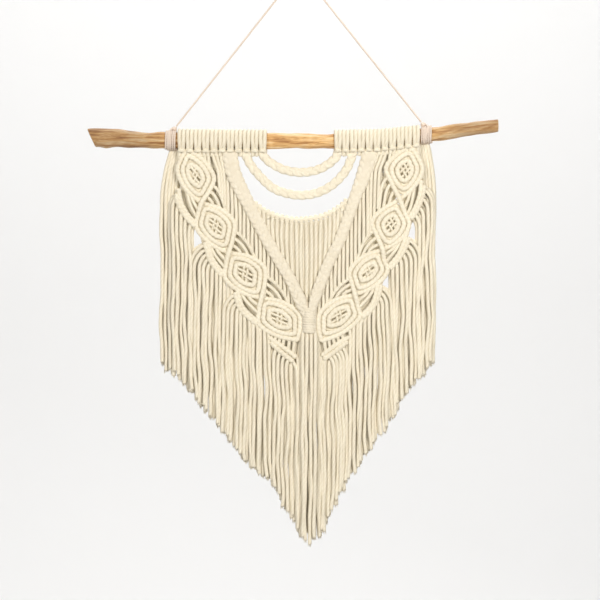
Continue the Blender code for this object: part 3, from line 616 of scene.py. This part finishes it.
def make_rod():
    """A peeled branch with slow bumps, cut at both ends."""
    sides, step = 40, 2.2
    left, right = ROD[0, 0], ROD[-1, 0]
    x = np.linspace(left, right, int((right - left) / step))
    smooth = spline(ROD, 4).T
    centre, radius = np.interp(x, smooth[0], smooth[1]), np.interp(x, smooth[0], smooth[2])
    angle = 2 * pi * np.arange(sides) / sides
    bumps = np.zeros((len(x), sides))
    for wave, turns, size in ROD_WAVES:
        bumps += size * np.sin(2 * pi * x[:, None] / wave + turns * angle + rng.uniform(0, 6.3))
    for knot_x, knot_turn, size, wide in ROD_KNOTS:
        apart = np.abs((angle - knot_turn + pi) % (2 * pi) - pi) * 8
        bumps += size * np.exp(-((x[:, None] - knot_x) ** 2 + apart ** 2) / wide ** 2)
    covered = (x > TIES["left"][0]) & (x < HEADINGS["left"][1])
    covered |= (x > HEADINGS["right"][0]) & (x < TIES["right"][1])
    bumps = np.where(covered[:, None], np.minimum(bumps, 0.2) * 0.3, bumps)
    size = radius[:, None] + bumps
    py, pz = size * np.cos(angle), size * np.sin(angle)
    slanted = np.clip((left + ROD_SLANT_REACH - x) / ROD_SLANT_REACH, 0, 1)[:, None] ** 2
    px = x[:, None] + ROD_LEFT_SLANT * (pz - ROD[0, 2]) * slanted
    rings, local = np.stack((px, py, pz + centre[:, None]), axis=-1), np.stack((px, py, pz), axis=-1)
    branch = Skein()
    index = branch.put(rings, local, 0)
    branch.join(index[:-1], index[1:], np.roll(index[1:], -1, 1), np.roll(index[:-1], -1, 1))
    for place, way in ((0, -1), (-1, 1)):
        middle, middle_lay = rings[place].mean(0), local[place].mean(0)
        before = None
        for share, out in ROD_END:
            now = branch.put(middle + (rings[place] - middle) * share + np.array((way * out, 0, 0)),
                             middle_lay + (local[place] - middle_lay) * share, float(share < 1))
            if before is not None:
                branch.tube(*((before, now) if way < 0 else (now, before)))
            before = now
        tip = branch.put(middle[None] + np.array((way * ROD_END[-1][1], 0, 0)), middle_lay, 1)[0]
        branch.cap(before, tip, way > 0)
    branch.make("rod_branch", wood, ["rod"], "wood")


def hanger_route():
    """Centre line of the hanging twine: two straight legs and a round bend over the hook."""
    centre = TWINE / 2 - HOOK_BEND
    legs = []
    for name, side in MIRROR.items():
        knot = np.array(KNOTS[name])
        rise = atan2(centre - knot[1], abs(knot[0])) + asin(HOOK_BEND / hypot(knot[0], centre - knot[1]))
        touch = np.array((side * HOOK_BEND * sin(rise), centre + HOOK_BEND * cos(rise)))
        away = (KNOT_RADIUS + GAP) / hypot(*(touch - knot))
        legs.append((knot + (touch - knot) * away, touch, side * rise))
    (first, touch_left, turn_left), (last, touch_right, turn_right) = legs
    shares = np.linspace(0, 1, 28)[:, None]
    bend = [(HOOK_BEND * sin(t), centre + HOOK_BEND * cos(t)) for t in np.linspace(turn_left, turn_right, 11)[1:-1]]
    up, down = first + (touch_left - first) * shares, touch_right + (last - touch_right) * shares
    return lift(np.vstack((up, bend, down)), 0)


def make_hanger():
    """The hanging twine."""
    route = hanger_route()
    gone = run_along(route)
    path = resampled(route, int(gone[-1] / TWINE_STEP))
    cord = Skein().add(path, TWINE / 2 * 0.97, **TWINE_LOOKS)
    made = cord.make("hanger_twine", twine, ["hanger_cord"], "twine")


def around_rod(x, turn, away):
    """Points at angles round the rod, 0 in front and a quarter turn on top, away from its surface."""
    reach = rod_radius(x) + away
    return x, -reach * np.cos(turn), rod_z(x) + reach * np.sin(turn)


def make_tie(side):
    """Turns of twine round the rod and the knot that the hanging twine leaves."""
    start, end = TIES[side]
    turns, margin = 6, 1.1
    skein = Skein()
    share = np.arange(turns * 22 + 1) / (turns * 22)
    x = start + margin + (end - start - 2 * margin) * share + 0.25 * np.sin(9 * share)
    skein.add(np.column_stack(around_rod(x, 2 * pi * turns * share - 1.2, 1.25)), 1.08, **TWINE_LOOKS)
    kx, kz = KNOTS[side]
    inward = -MIRROR[side]
    for tilt, size in ((0.5, 1.9), (-0.5, 1.9), (1.5, 1.7)):
        t = np.linspace(0, 2 * pi, 22, endpoint=False)
        u, v = size * np.cos(t), size * np.sin(t)
        ring = np.column_stack((kx + u * cos(tilt) * inward, v * 0.95, kz + u * sin(tilt)))
        skein.add(ring, 1.05, sides=8, pitch=TWINE_LOOKS["pitch"], closed=True)
    tail = ((0, 0, 0), (2.6, -2.4, -0.2), (4.6, -5, -3), (5, -8.2, -8.5))
    tail = [(kx - inward * x, y, kz + z) for x, y, z in tail]
    skein.add(spline(tail, TWINE_STEP), 1, **TWINE_LOOKS)
    skein.make(f"tie_{side}", twine, [f"hanger_tie_{side}"], "twine")


def leg_x(side):
    """Places of the cords along a heading, in pairs."""
    start, end = HEADINGS[side]
    pitch = (end - start) / HEADING_LEGS
    return [start + pitch * (i + 0.5) for i in range(HEADING_LEGS)]


def make_heading(side):
    """Lark's-head loops: each cord goes over the rod, back under it and across its own legs."""
    places = leg_x(side)
    skein = Skein()
    for first, second in zip(places[::2], places[1::2]):
        middle, half = (first + second) / 2, (second - first) / 2
        lean = rng.uniform(-0.5, 0.5)
        away = 2.15 + rng.uniform(-0.1, 0.1)
        out = away + 2.9 + rng.uniform(-0.15, 0.15)
        hang = under_heading(middle) - rod_z(middle)
        path = []
        for way in (-1, 1):
            x = middle + way * half
            foot = rod_z(x) + hang
            leg = [(x, Y_WORK, foot - 3.5), (x - way * 0.4, Y_WORK - 1.6, foot + 2)]
            leg += [around_rod(x - way * pinch + lean * (1 - abs(t)) * 0.4, t, away) for t, pinch in LOOP_TURNS]
            leg += [around_rod(x + way * aside, t, away + more)
                    for aside, t, more in ((0.25, 4.25, 0.2), (0.45, 4.7, 0.7), (0.35, 5.08, 1.7))]
            leg += [around_rod(middle + way * half * 0.75, 5.32, out)]
            path += leg if way < 0 else [around_rod(middle, 5.38, out + 0.3)] + leg[::-1]
        skein.lead(path, 2.08, LOOP_STEP)
    skein.make(f"heading_{side}_loops", cotton, [f"heading_{side}"])


# ---- plaits

def plait(skein, route, count, depth, pitch, cord, flat, width=0, phase=0):
    """A flat plait of cords along a route of x, y, z and, where it has a fourth column, its own width."""
    line = spline(route, LOOP_STEP)
    gone = run_along(line)
    ahead = unit_rows(np.gradient(line[:, :3], axis=0))
    across = np.column_stack((-ahead[:, 2], np.zeros(len(line)), ahead[:, 0]))
    widths = line[:, 3] if line.shape[1] > 3 else np.full(len(line), width)
    for k in range(count):
        angle = 2 * pi * (gone / pitch + k / count) + phase
        aside = (widths - cord) / 2 * np.cos(angle)
        path = line[:, :3] + across * aside[:, None]
        path[:, 1] += depth * np.sin((count - 1) * angle)
        skein.add(path, cord / 2, sides=14, depth=flat, ply=PLY_DEPTH)


def make_swag(name):
    """A plait of three cords between the headings."""
    skein = Skein()
    plait(skein, lift(SWAGS[name], Y_WORK), count=3, width=9.8, depth=0.7, pitch=25, cord=6.1, flat=0.7)
    skein.make(f"swag_{name}_plait", cotton, [f"swag_{name}"])


def make_bands():
    """The two arms of the V: wide flat plaits of four cords, drawn tight over a core."""
    skein = Skein()
    for side, table in BANDS.items():
        route = [(x, float(np.interp(z, *BAND_DEPTH)), z, width + 0.6) for x, z, width in table]
        core = spline(route, 2)
        skein.add(core, core[:, 3] / 2 - 1, sides=20, depth=0.32)
        plait(skein, route, count=4, depth=0.45, pitch=27, cord=7.4, flat=0.5, phase=BAND_PHASE[side])
    skein.make("v_band_plaits", shaded_cotton, ["v_band"])


# ---- diamonds

def outline(corners, inset=0):
    """Corners and bulged sides of a diamond, moved in by a distance, from the left corner round the top."""
    corners = np.array(corners)
    ways = np.roll(corners, -1, axis=0) - corners
    lengths = norm(ways, axis=1)
    ways /= lengths[:, None]
    inward = np.column_stack((ways[:, 1], -ways[:, 0]))
    inside = [corners[i] + (inward[i - 1] + inward[i]) * inset / (1 + inward[i - 1] @ inward[i]) for i in range(4)]
    ring = []
    for i in range(4):
        a, b = inside[i], inside[(i + 1) % 4]
        bulge = BULGE + (0.008 * inset if lengths[i] > lengths.mean() else 0)
        ring += [a, (a + b) / 2 - inward[i] * bulge * norm(b - a)]
    return ring


def chain_rows(side):
    """The two outer rows, which run down the whole chain and cross between its diamonds."""
    diamonds = DIAMONDS[side]
    routes = []
    for start in (0, 1):
        flats = [(outline(diamonds[0])[2], 0)]
        for i, corners in enumerate(diamonds):
            ring = outline(corners)
            on_left = (i + start) % 2 == 0
            flats += [(ring[p], 0) for p in ((1, 0, 7) if on_left else (3, 4, 5))]
            if i < len(diamonds) - 1:
                crossing = (np.array(corners[BOTTOM]) + np.array(diamonds[i + 1][TOP])) / 2
                flats.append((crossing, CROSSING_Y[on_left == (side == "left")]))
            else:
                flats.append((ring[6], 0))
        routes.append([(x, ROW_Y[0] + over, z) for (x, z), over in flats])
    return routes


def weave_point(ring, a, b):
    left, top, right, bottom = ring[::2]
    return (1 - a) * (1 - b) * top + a * (1 - b) * right + (1 - a) * b * left + a * b * bottom


def make_diamonds(side):
    """Rows of hitches round a woven centre, over the cords that carry the hitches."""
    rows, weave = Skein(), Skein()
    for route in chain_rows(side):
        rows.add(spline(route, ROW_STEP), ROW_RADIUS, depth=0.95, lump=ROW_LUMPS)
    for corners in DIAMONDS[side]:
        for k in (1, 2):
            ring = lift(outline(corners, ROW_INSET * k), ROW_Y[k])
            rows.add(spline(ring, ROW_STEP, closed=True), ROW_RADIUS, depth=0.95, lump=ROW_LUMPS, closed=True)
            ring = lift(outline(corners, ROW_INSET * (k - 0.5)), CARRIER_Y)
            rows.add(spline(ring, 1.7, closed=True), 2.3, sides=9, lump=(0.1, ROW_PITCH, 1), closed=True)
        ring = outline(corners, ROW_INSET * 2)
        spans = [norm(weave_point(ring, 1, 0.5) - weave_point(ring, 0, 0.5)),
                 norm(weave_point(ring, 0.5, 1) - weave_point(ring, 0.5, 0))]
        for family in (0, 1):
            across, along = spans[family], spans[1 - family]
            half = 0.5 * WEAVE_PITCH / across
            tuck = WEAVE_TUCK[across > along] * across / along
            for i, place in enumerate((0.5 - half, 0.5 + half)):
                points = []
                for t in np.linspace(-tuck, 1 + tuck, 17):
                    x, z = weave_point(ring, t, place) if family else weave_point(ring, place, t)
                    over = sin(pi * (t - 0.5) / (0.5 if family else 0.36))
                    sign = 1 if (i + family) % 2 else -1
                    points.append((x, WEAVE_Y + sign * over, z))
                weave.add(spline(points, 0.9), WEAVE_RADIUS, sides=10, ply=PLY_DEPTH)
        for place in np.linspace(0.06, 0.94, int(spans[1] / 3.6) + 1):
            points = [tuple(weave_point(ring, t, place)) for t in (-0.1, 0.35, 0.65, 1.1)]
            weave.back(lift(points, WEAVE_BACK_Y), 2.2, 1.7)
    rows.make(f"wing_{side}_rows", hitched, [f"wing_{side}"])
    weave.make(f"wing_{side}_centres", cotton, [f"wing_{side}"])


def side_point(corners, start, share):
    """Point on the bulged side of a diamond that starts at the given corner."""
    ring = outline(corners)
    a, middle, b = ring[2 * start], ring[2 * start + 1], ring[(2 * start + 2) % 8]
    return (1 - share) ** 2 * a + 2 * share * (1 - share) * (2 * middle - (a + b) / 2) + share ** 2 * b


def add_fans(skein, side):
    """Free strands on both sides of each crossing of a chain. Returns the outermost ones on its inner side."""
    limits = []
    for upper, lower in zip(DIAMONDS[side], DIAMONDS[side][1:]):
        for hand, layer in ((1, 0), (1, 1), (-1, 0), (-1, 1)):
            inside = hand == -MIRROR[side]
            (a_first, a_step), (b_first, b_step), *tangents = FANS[inside]
            for k in range(-layer, 3 if inside else 2 + layer):
                step = k + 0.5 * layer
                a_share, b_share = a_first + a_step * step, min(b_first + b_step * step, 0.97)
                if hand > 0:
                    a, b = side_point(upper, RIGHT, 1 - a_share), side_point(lower, TOP, b_share)
                else:
                    a, b = side_point(upper, BOTTOM, a_share), side_point(lower, LEFT, 1 - b_share)
                flat = hermite(a, b, *(np.multiply((hand, 1), way) * norm(b - a) for way in tangents))
                if inside and k == 2 and layer == 0:
                    limits.append(flat[np.argsort(flat[:, 0])])
                skein.lead(lift(flat, Y_WORK + 0.4 + 5.8 * layer), 2.2 if layer else LEAD_RADIUS)
    return limits


def add_uprights(skein, side, limits):
    """Upright strands, with one more behind each long one and two that close the step to the long ones."""
    inner, last_drop = -MIRROR[side], inf
    for path in drop_paths(side, limits):
        skein.lead(path, LEAD_RADIUS)
        drop = path[0, 2] - path[-1, 2]
        if drop > 9:
            skein.back(path + (inner * 2.05, 4.4, 0), HIDDEN_RADIUS)
        if drop > 22 > last_drop:
            behind = path + (-inner * 2.2, 4.4, 0)
            behind[:2, 0] -= inner * 1.6
            skein.back(behind, HIDDEN_RADIUS)
            skein.back(behind + (-inner * 3.6, 0.3, 0), HIDDEN_RADIUS)
        last_drop = drop


def add_links(skein, side):
    """Short strands from the last diamond down to the double bar of the fringe."""
    slant = -MIRROR[side] * LINK_SLANT
    for y, radius, *places in LINKS[side]:
        for x in places:
            top = height_at(x + slant, under_edge(side)) + 1.5
            foot = height_at(x, INNER_BARS[f"{side}_4"]) - (1 if y < -1 else 6.5)
            skein.lead(((x + slant, y, top), (x + 0.6 * slant, y, (top + foot) / 2), (x - 0.3 * slant, y, foot)),
                       radius)


def make_strands(side):
    """Every strand of a wing that isn't knotted."""
    skein = Skein()
    limits = add_fans(skein, side)
    add_uprights(skein, side, limits)
    add_links(skein, side)
    skein.make(f"wing_{side}_strands", cotton, [f"wing_{side}"])


def under_edge(side):
    """Lower side of a chain's last diamond."""
    ring = outline(DIAMONDS[side][3])
    return spline(ring[6:] + ring[:1] if side == "left" else ring[4:7], 1)


def chain_top(side, x):
    """Height of the upper side of a chain of diamonds at x."""
    for corners in DIAMONDS[side]:
        if (x <= corners[RIGHT][0]) if side == "left" else (x >= corners[LEFT][0]):
            break
    return height_at(x, spline(outline(corners)[:5], 1))


def foot_of(side, x, limits):
    """Height at which an upright strand at x ends: on the chain or on a fan's outermost strand."""
    z = chain_top(side, x) - 1.5
    for flat in limits:
        if flat[0, 0] <= x <= flat[-1, 0]:
            z = max(z, height_at(x, flat) - 1)
    return z


def band_edge(side, x, outward):
    """Height of an edge of a V band at x: its outer edge with outward 1, its inner edge with -1."""
    table = np.array(BANDS[side])
    ahead = unit_rows(np.gradient(table[:, :2], axis=0))
    way = outward * MIRROR[side]
    return height_at(x, np.column_stack((table[:, 0] - ahead[:, 1] * way * table[:, 2] / 2,
                                         table[:, 1] + ahead[:, 0] * way * table[:, 2] / 2)))


def drop_paths(side, limits):
    """Strands from the heading and from under the V band down to the chain of diamonds; x counts outwards here."""
    mirror = MIRROR[side]
    innermost = RIGHT if side == "left" else LEFT
    outer, lower = (mirror * BANDS[side][i][0] + BANDS[side][i][2] / 2 for i in (0, 2))
    corner, top_corner = (mirror * DIAMONDS[side][0][i][0] for i in (innermost, TOP))
    near, far, straight = lower + 1.5, corner - 3.8, corner + 4
    paths = []
    for leg in leg_x(side)[::-mirror]:
        x, z = mirror * leg, under_heading(leg)
        if x < outer:
            continue
        if x > straight:
            foot = x if x > top_corner else x - 2
            z_foot = min(chain_top(side, mirror * foot) - 1, z - 3)
            flat = (x, z + 2), ((x + foot) / 2, (z + z_foot) / 2), (foot, z_foot)
        else:
            share = (x - outer) / (straight - outer)
            hang = near + (far - near) * share
            z_corner, z_foot = z - 27, foot_of(side, mirror * hang, limits)
            flat = ((x, z + 2), (x + (hang - x) * 0.3, z - 7), (x + (hang - x) * 0.85, z - 18),
                    (hang, z_corner), (hang - 0.8, z_corner + (z_foot - z_corner) * 0.55), (hang - 1.2, z_foot))
        paths.append(lift(flat, Y_WORK) * (mirror, 1, 1))
    x = lower - 1.6
    while x > mirror * DIAMONDS[side][3][innermost][0] - 2:
        z, z_foot = band_edge(side, mirror * x, 1) + 3.5, foot_of(side, mirror * x, limits)
        if z - z_foot > 3.5:
            wave = mirror * rng.uniform(-0.4, 0.4)
            flat = (x, z), (x + wave, z - 0.2 * (z - z_foot)), (x - wave, z - 0.6 * (z - z_foot)), (x, z_foot)
            paths.append(lift(flat, Y_WORK + np.array((1.2, 0.6, 0.2, 0))) * (mirror, 1, 1))
        x -= LEAD_PITCH
    return paths


# ---- bars and fringe

def hanging(root, leave, hang, bend, y, tip, wave):
    """A strand that leaves its root, bends down at hang and hangs to its tip with a slight wave."""
    start = hermite(root, (hang, bend), leave, (0, -1.3 * (root[1] - bend)), 9)
    length = bend - tip
    s, aside = wander(length, wave * rng.uniform(0.7, 1.1), 104 + rng.uniform(-9, 9), hang)
    _, forth = wander(length, 0.6, 70)
    splay = rng.uniform(-1.4, 1.4) * (s / length) ** 2
    drop = np.column_stack((hang + aside + splay, y + forth, bend - s))[1:]
    return np.vstack((lift(start, y), drop))


def frayed(skein, tip, ahead):
    """Loose fibres at a cut end."""
    for _ in range(FIBRE_COUNT):
        turn, out = rng.uniform(0, 2 * pi), rng.uniform(0.5, 1.7)
        around = np.array((cos(turn), sin(turn), 0))
        start, spread = tip + around * out, around * rng.uniform(0, 0.7)
        end = start + ahead * rng.uniform(1.2, 3.2) + spread
        skein.add(np.array((start - ahead * 1.5, (start + end) / 2 + spread * 0.2, end)), FIBRE_RADII, sides=3)


def strand(skein, path, radius, front=True):
    """A free strand with a cut end; those behind are coarser."""
    path = spline(path, FINE_STEP if front else COARSE_STEP)
    size = radius * (1 + 0.03 * np.sin(np.arange(len(path)) * 0.37 + rng.uniform(0, 6)))
    size[-1] *= 0.97
    skein.add(path, size, sides=12 if front else 9, ply=PLY_DEPTH if front else 0,
              pitch=PLY_PITCH * rng.uniform(0.92, 1.1), end=0.25)
    ahead = path[-1] - path[-2]
    frayed(skein, path[-1], ahead / norm(ahead))


def under_last(side):
    """Starts of the strands that hang straight from the last diamond of a chain."""
    corner, shares = (BOTTOM, (0.98, 0.86, 0.74)) if side == "left" else (RIGHT, (0.06, 0.18, 0.3))
    return [side_point(DIAMONDS[side][3], corner, share) for share in shares]


def second_bar(route, side):
    """The bar just above a fringe's first one, which starts a little before it."""
    coarse = spline(route, 4)
    ahead = unit_rows(np.gradient(coarse, axis=0))
    apart = np.linspace(3.3, 2.6, len(coarse))[:, None]
    second = coarse + side * np.column_stack((-ahead[:, 1], ahead[:, 0])) * apart
    return np.vstack((2.2 * second[0] - 1.2 * second[1], second))


def make_fringe(name):
    """Knotted bars and their fringe: a front layer as in the solids and a second layer behind it."""
    route, reach, count = BARS[name]
    side = 1 if reach[1] > reach[0] else -1
    bar, front = Skein(), Skein()
    bar.add(spline(lift(route, Y_WORK - 0.7), ROW_STEP), 2.8, depth=1.1, lump=(0.28, BAR_PITCH, 1))
    last = name in INNER_BARS
    second, skirt = (INNER_BARS[name], under_last(name[:-2])) if last else (second_bar(route, side), [])
    bar.add(spline(lift(second, Y_WORK - 0.5), ROW_STEP), 2.65 if last else 2.4, lump=(0.24, BAR_PITCH, 1))
    line = spline(route, 0.5)
    pitch = (reach[1] - reach[0]) / (count - 1)
    for layer in (0, 1):
        arched = last and layer == 0
        places = reach[0] + pitch * (np.arange(count + layer) - 0.5 * layer)
        if arched:
            places[:-2] = np.linspace(reach[0], ARCHED[name][0], count - 2)
            places[-2:] = ARCHED[name][1], reach[1]
        for i, place in enumerate(places):
            hang = place + rng.uniform(-0.5, 0.5)
            tip = cut_z(hang) + rng.uniform(-1, 4)
            y = Y_WORK + BEHIND * layer + rng.uniform(-0.5, 0.5)
            if i < len(skirt):
                start, kick, bend = skirt[i], (-side * 2, -8), skirt[i][1] - 16
            else:
                share = (i - len(skirt) + 0.5 - 0.5 * layer) / (count - len(skirt))
                if arched:
                    share = float(np.interp(side * (hang + side * ARCHED[name][2]), side * line[:, 0],
                                            np.linspace(0, 1, len(line))))
                start = point_at(line, min(max(share, 0.03), 0.97))
                sideways = abs(hang - start[0])
                bend = start[1] - 6 - sideways
                kick = np.array((-side, -0.2)) * (2 + 1.5 * sideways)
                if side * (hang - start[0]) > 0:
                    kick = np.array((side * 2, -3))
            path = hanging(start, kick, hang, bend, y, tip, 0.55 if layer else 1.1)
            strand(front, path, BACK_RADIUS if layer else STRAND_RADIUS, layer == 0)
    for x, z in BETWEEN.get(name, ()):
        path = hanging((x, z), (0, -6), x - 0.5, z - 12, Y_WORK + 2.2, cut_z(x) + 4, 0.6)
        strand(front, path, PANEL_RADIUS)
    for given in LAST_STRANDS.get(name, ()):
        x, z = given[-1]
        tip = cut_z(x) + rng.uniform(0, 5)
        s, aside = wander(z - tip, 0.8, 100)
        down = np.column_stack((x + aside, np.full(len(s), Y_WORK + 0.8), z - s))[1:]
        strand(front, np.vstack((lift(given, Y_WORK + 0.8), down)), STRAND_RADIUS)
    bar.make(f"fringe_{name}_bar", hitched, [f"fringe_{name}"])
    front.make(f"fringe_{name}_strands", cotton, [f"fringe_{name}"])


def make_sides(side):
    """Long strands from the outer end of a heading, in layers behind the wing."""
    root, reach = SIDES[side]
    skein = Skein()
    for layer, y in enumerate(SIDE_LAYERS):
        for i in range(SIDE_COUNT):
            share = (i + 0.5 * (layer % 2)) / SIDE_COUNT
            x = root[0] + (root[1] - root[0]) * (share + 0.1)
            hang = reach[0] + (reach[1] - reach[0]) * share + rng.uniform(-0.4, 0.4) + 1.5
            top = under_heading(x) + 9
            tip = cut_z(hang) + rng.uniform(-2, 6) + 2 * layer
            path = hanging((x, top), ((hang - x) * 0.8, -20), hang, top - 60, y, tip, 0.9)
            strand(skein, path, STRAND_RADIUS, layer == 0)
    skein.make(f"side_{side}_strands", cotton, [f"side_strands_{side}"])


# ---- centre

def make_centre():
    """The third swag, its lark's-head loops and the strands that hang down to the V."""
    skein = Skein()
    carrier = spline(lift(CENTRE_SWAG, Y_WORK + 0.5), 1.4)
    skein.add(carrier, HIDDEN_RADIUS, ply=PLY_DEPTH)
    for k in range(CENTRE_COUNT):
        x, y, z = point_at(carrier, (k + 0.5) / CENTRE_COUNT)
        loop = [(x + rng.uniform(-0.15, 0.15), y + 2.6 * sin(t), z + 2.1 * cos(t))
                for t in np.linspace(0.5, 2 * pi - 2.6, 9)]
        foot = max(band_edge("left", x, -1), band_edge("right", x, -1)) + 1
        drop = [(x, Y_WORK - 0.6, z - 3.6)]
        if z - foot > 9:
            drop += [(x + rng.uniform(-0.2, 0.2), Y_WORK + 0.2, z - 7.5),
                     (x + rng.uniform(-0.8, 0.8), Y_WORK, (z + foot) / 2)]
        drop += [(x + (9 - x) * 0.07 * min((z - foot) / 60, 1), Y_WORK + 0.8, foot - 6.5)]
        skein.lead(loop[::-1], 2.2, 0.9)
        skein.lead(drop, PANEL_RADIUS)
        second = np.array(drop) + np.array((2.15 + rng.uniform(-0.3, 0.3), 2, 0))
        second[-1, 2] -= 2
        skein.back(second, PANEL_RADIUS)
    skein.make("centre_panel", cotton, ["centre_strands"])


def make_wrap():
    """Turns of cord round the foot of the V."""
    cx, cy = WRAP_CENTRE
    top, foot = WRAP_SPAN
    turns = int((top - foot) / WRAP_PITCH)
    share = np.arange(turns * 28 + 1) / (turns * 28)
    turn = 2 * pi * turns * share
    swell = 1 + 0.04 * np.sin(pi * share) + 0.05 * np.maximum(share - 0.9, 0) / 0.1
    path = np.column_stack((cx + WRAP_SIZE[0] * swell * np.cos(turn), cy + WRAP_SIZE[1] * swell * np.sin(turn),
                            top - 2 + (foot - top + 4) * share))
    Skein().add(path, 2.4, pitch=9).make("centre_wrap_turns", shaded_cotton, ["centre_wrap"])


def make_tassel():
    """Strands in layers of four and three under the wrap."""
    cx, foot = WRAP_CENTRE[0], WRAP_SPAN[1]
    tassel = Skein()
    for layer, y in enumerate(TASSEL_LAYERS):
        count = 4 if layer % 2 == 0 else 3
        for i in range(count):
            share = i / (count - 1)
            share = share if count == 4 else 0.17 + 0.66 * share
            hang = TASSEL_REACH[0] + (TASSEL_REACH[1] - TASSEL_REACH[0]) * share
            x = cx + (hang - cx) * 0.95
            tip = cut_z(hang) + rng.uniform(-2, 9) + 2 * layer
            path = hanging((x, foot + 3), (0, -12), hang, foot - 25, y, tip, 0.6)
            if layer == 0:
                path[:, 1] += 2.6 * np.clip((path[:, 2] - foot + 7) / 9, 0, 1)
            strand(tassel, path, STRAND_RADIUS, layer < 2)
    tassel.make("centre_tassel_strands", cotton, ["centre_tassel"])


# ---- the whole

make_stage()
make_hanger()
make_rod()
for hand in MIRROR:
    make_tie(hand)
    make_heading(hand)
for swag in SWAGS:
    make_swag(swag)
make_bands()
for hand in MIRROR:
    make_diamonds(hand)
    make_strands(hand)
for bar_name in BARS:
    make_fringe(bar_name)
for hand in MIRROR:
    make_sides(hand)
make_centre()
make_wrap()
make_tassel()
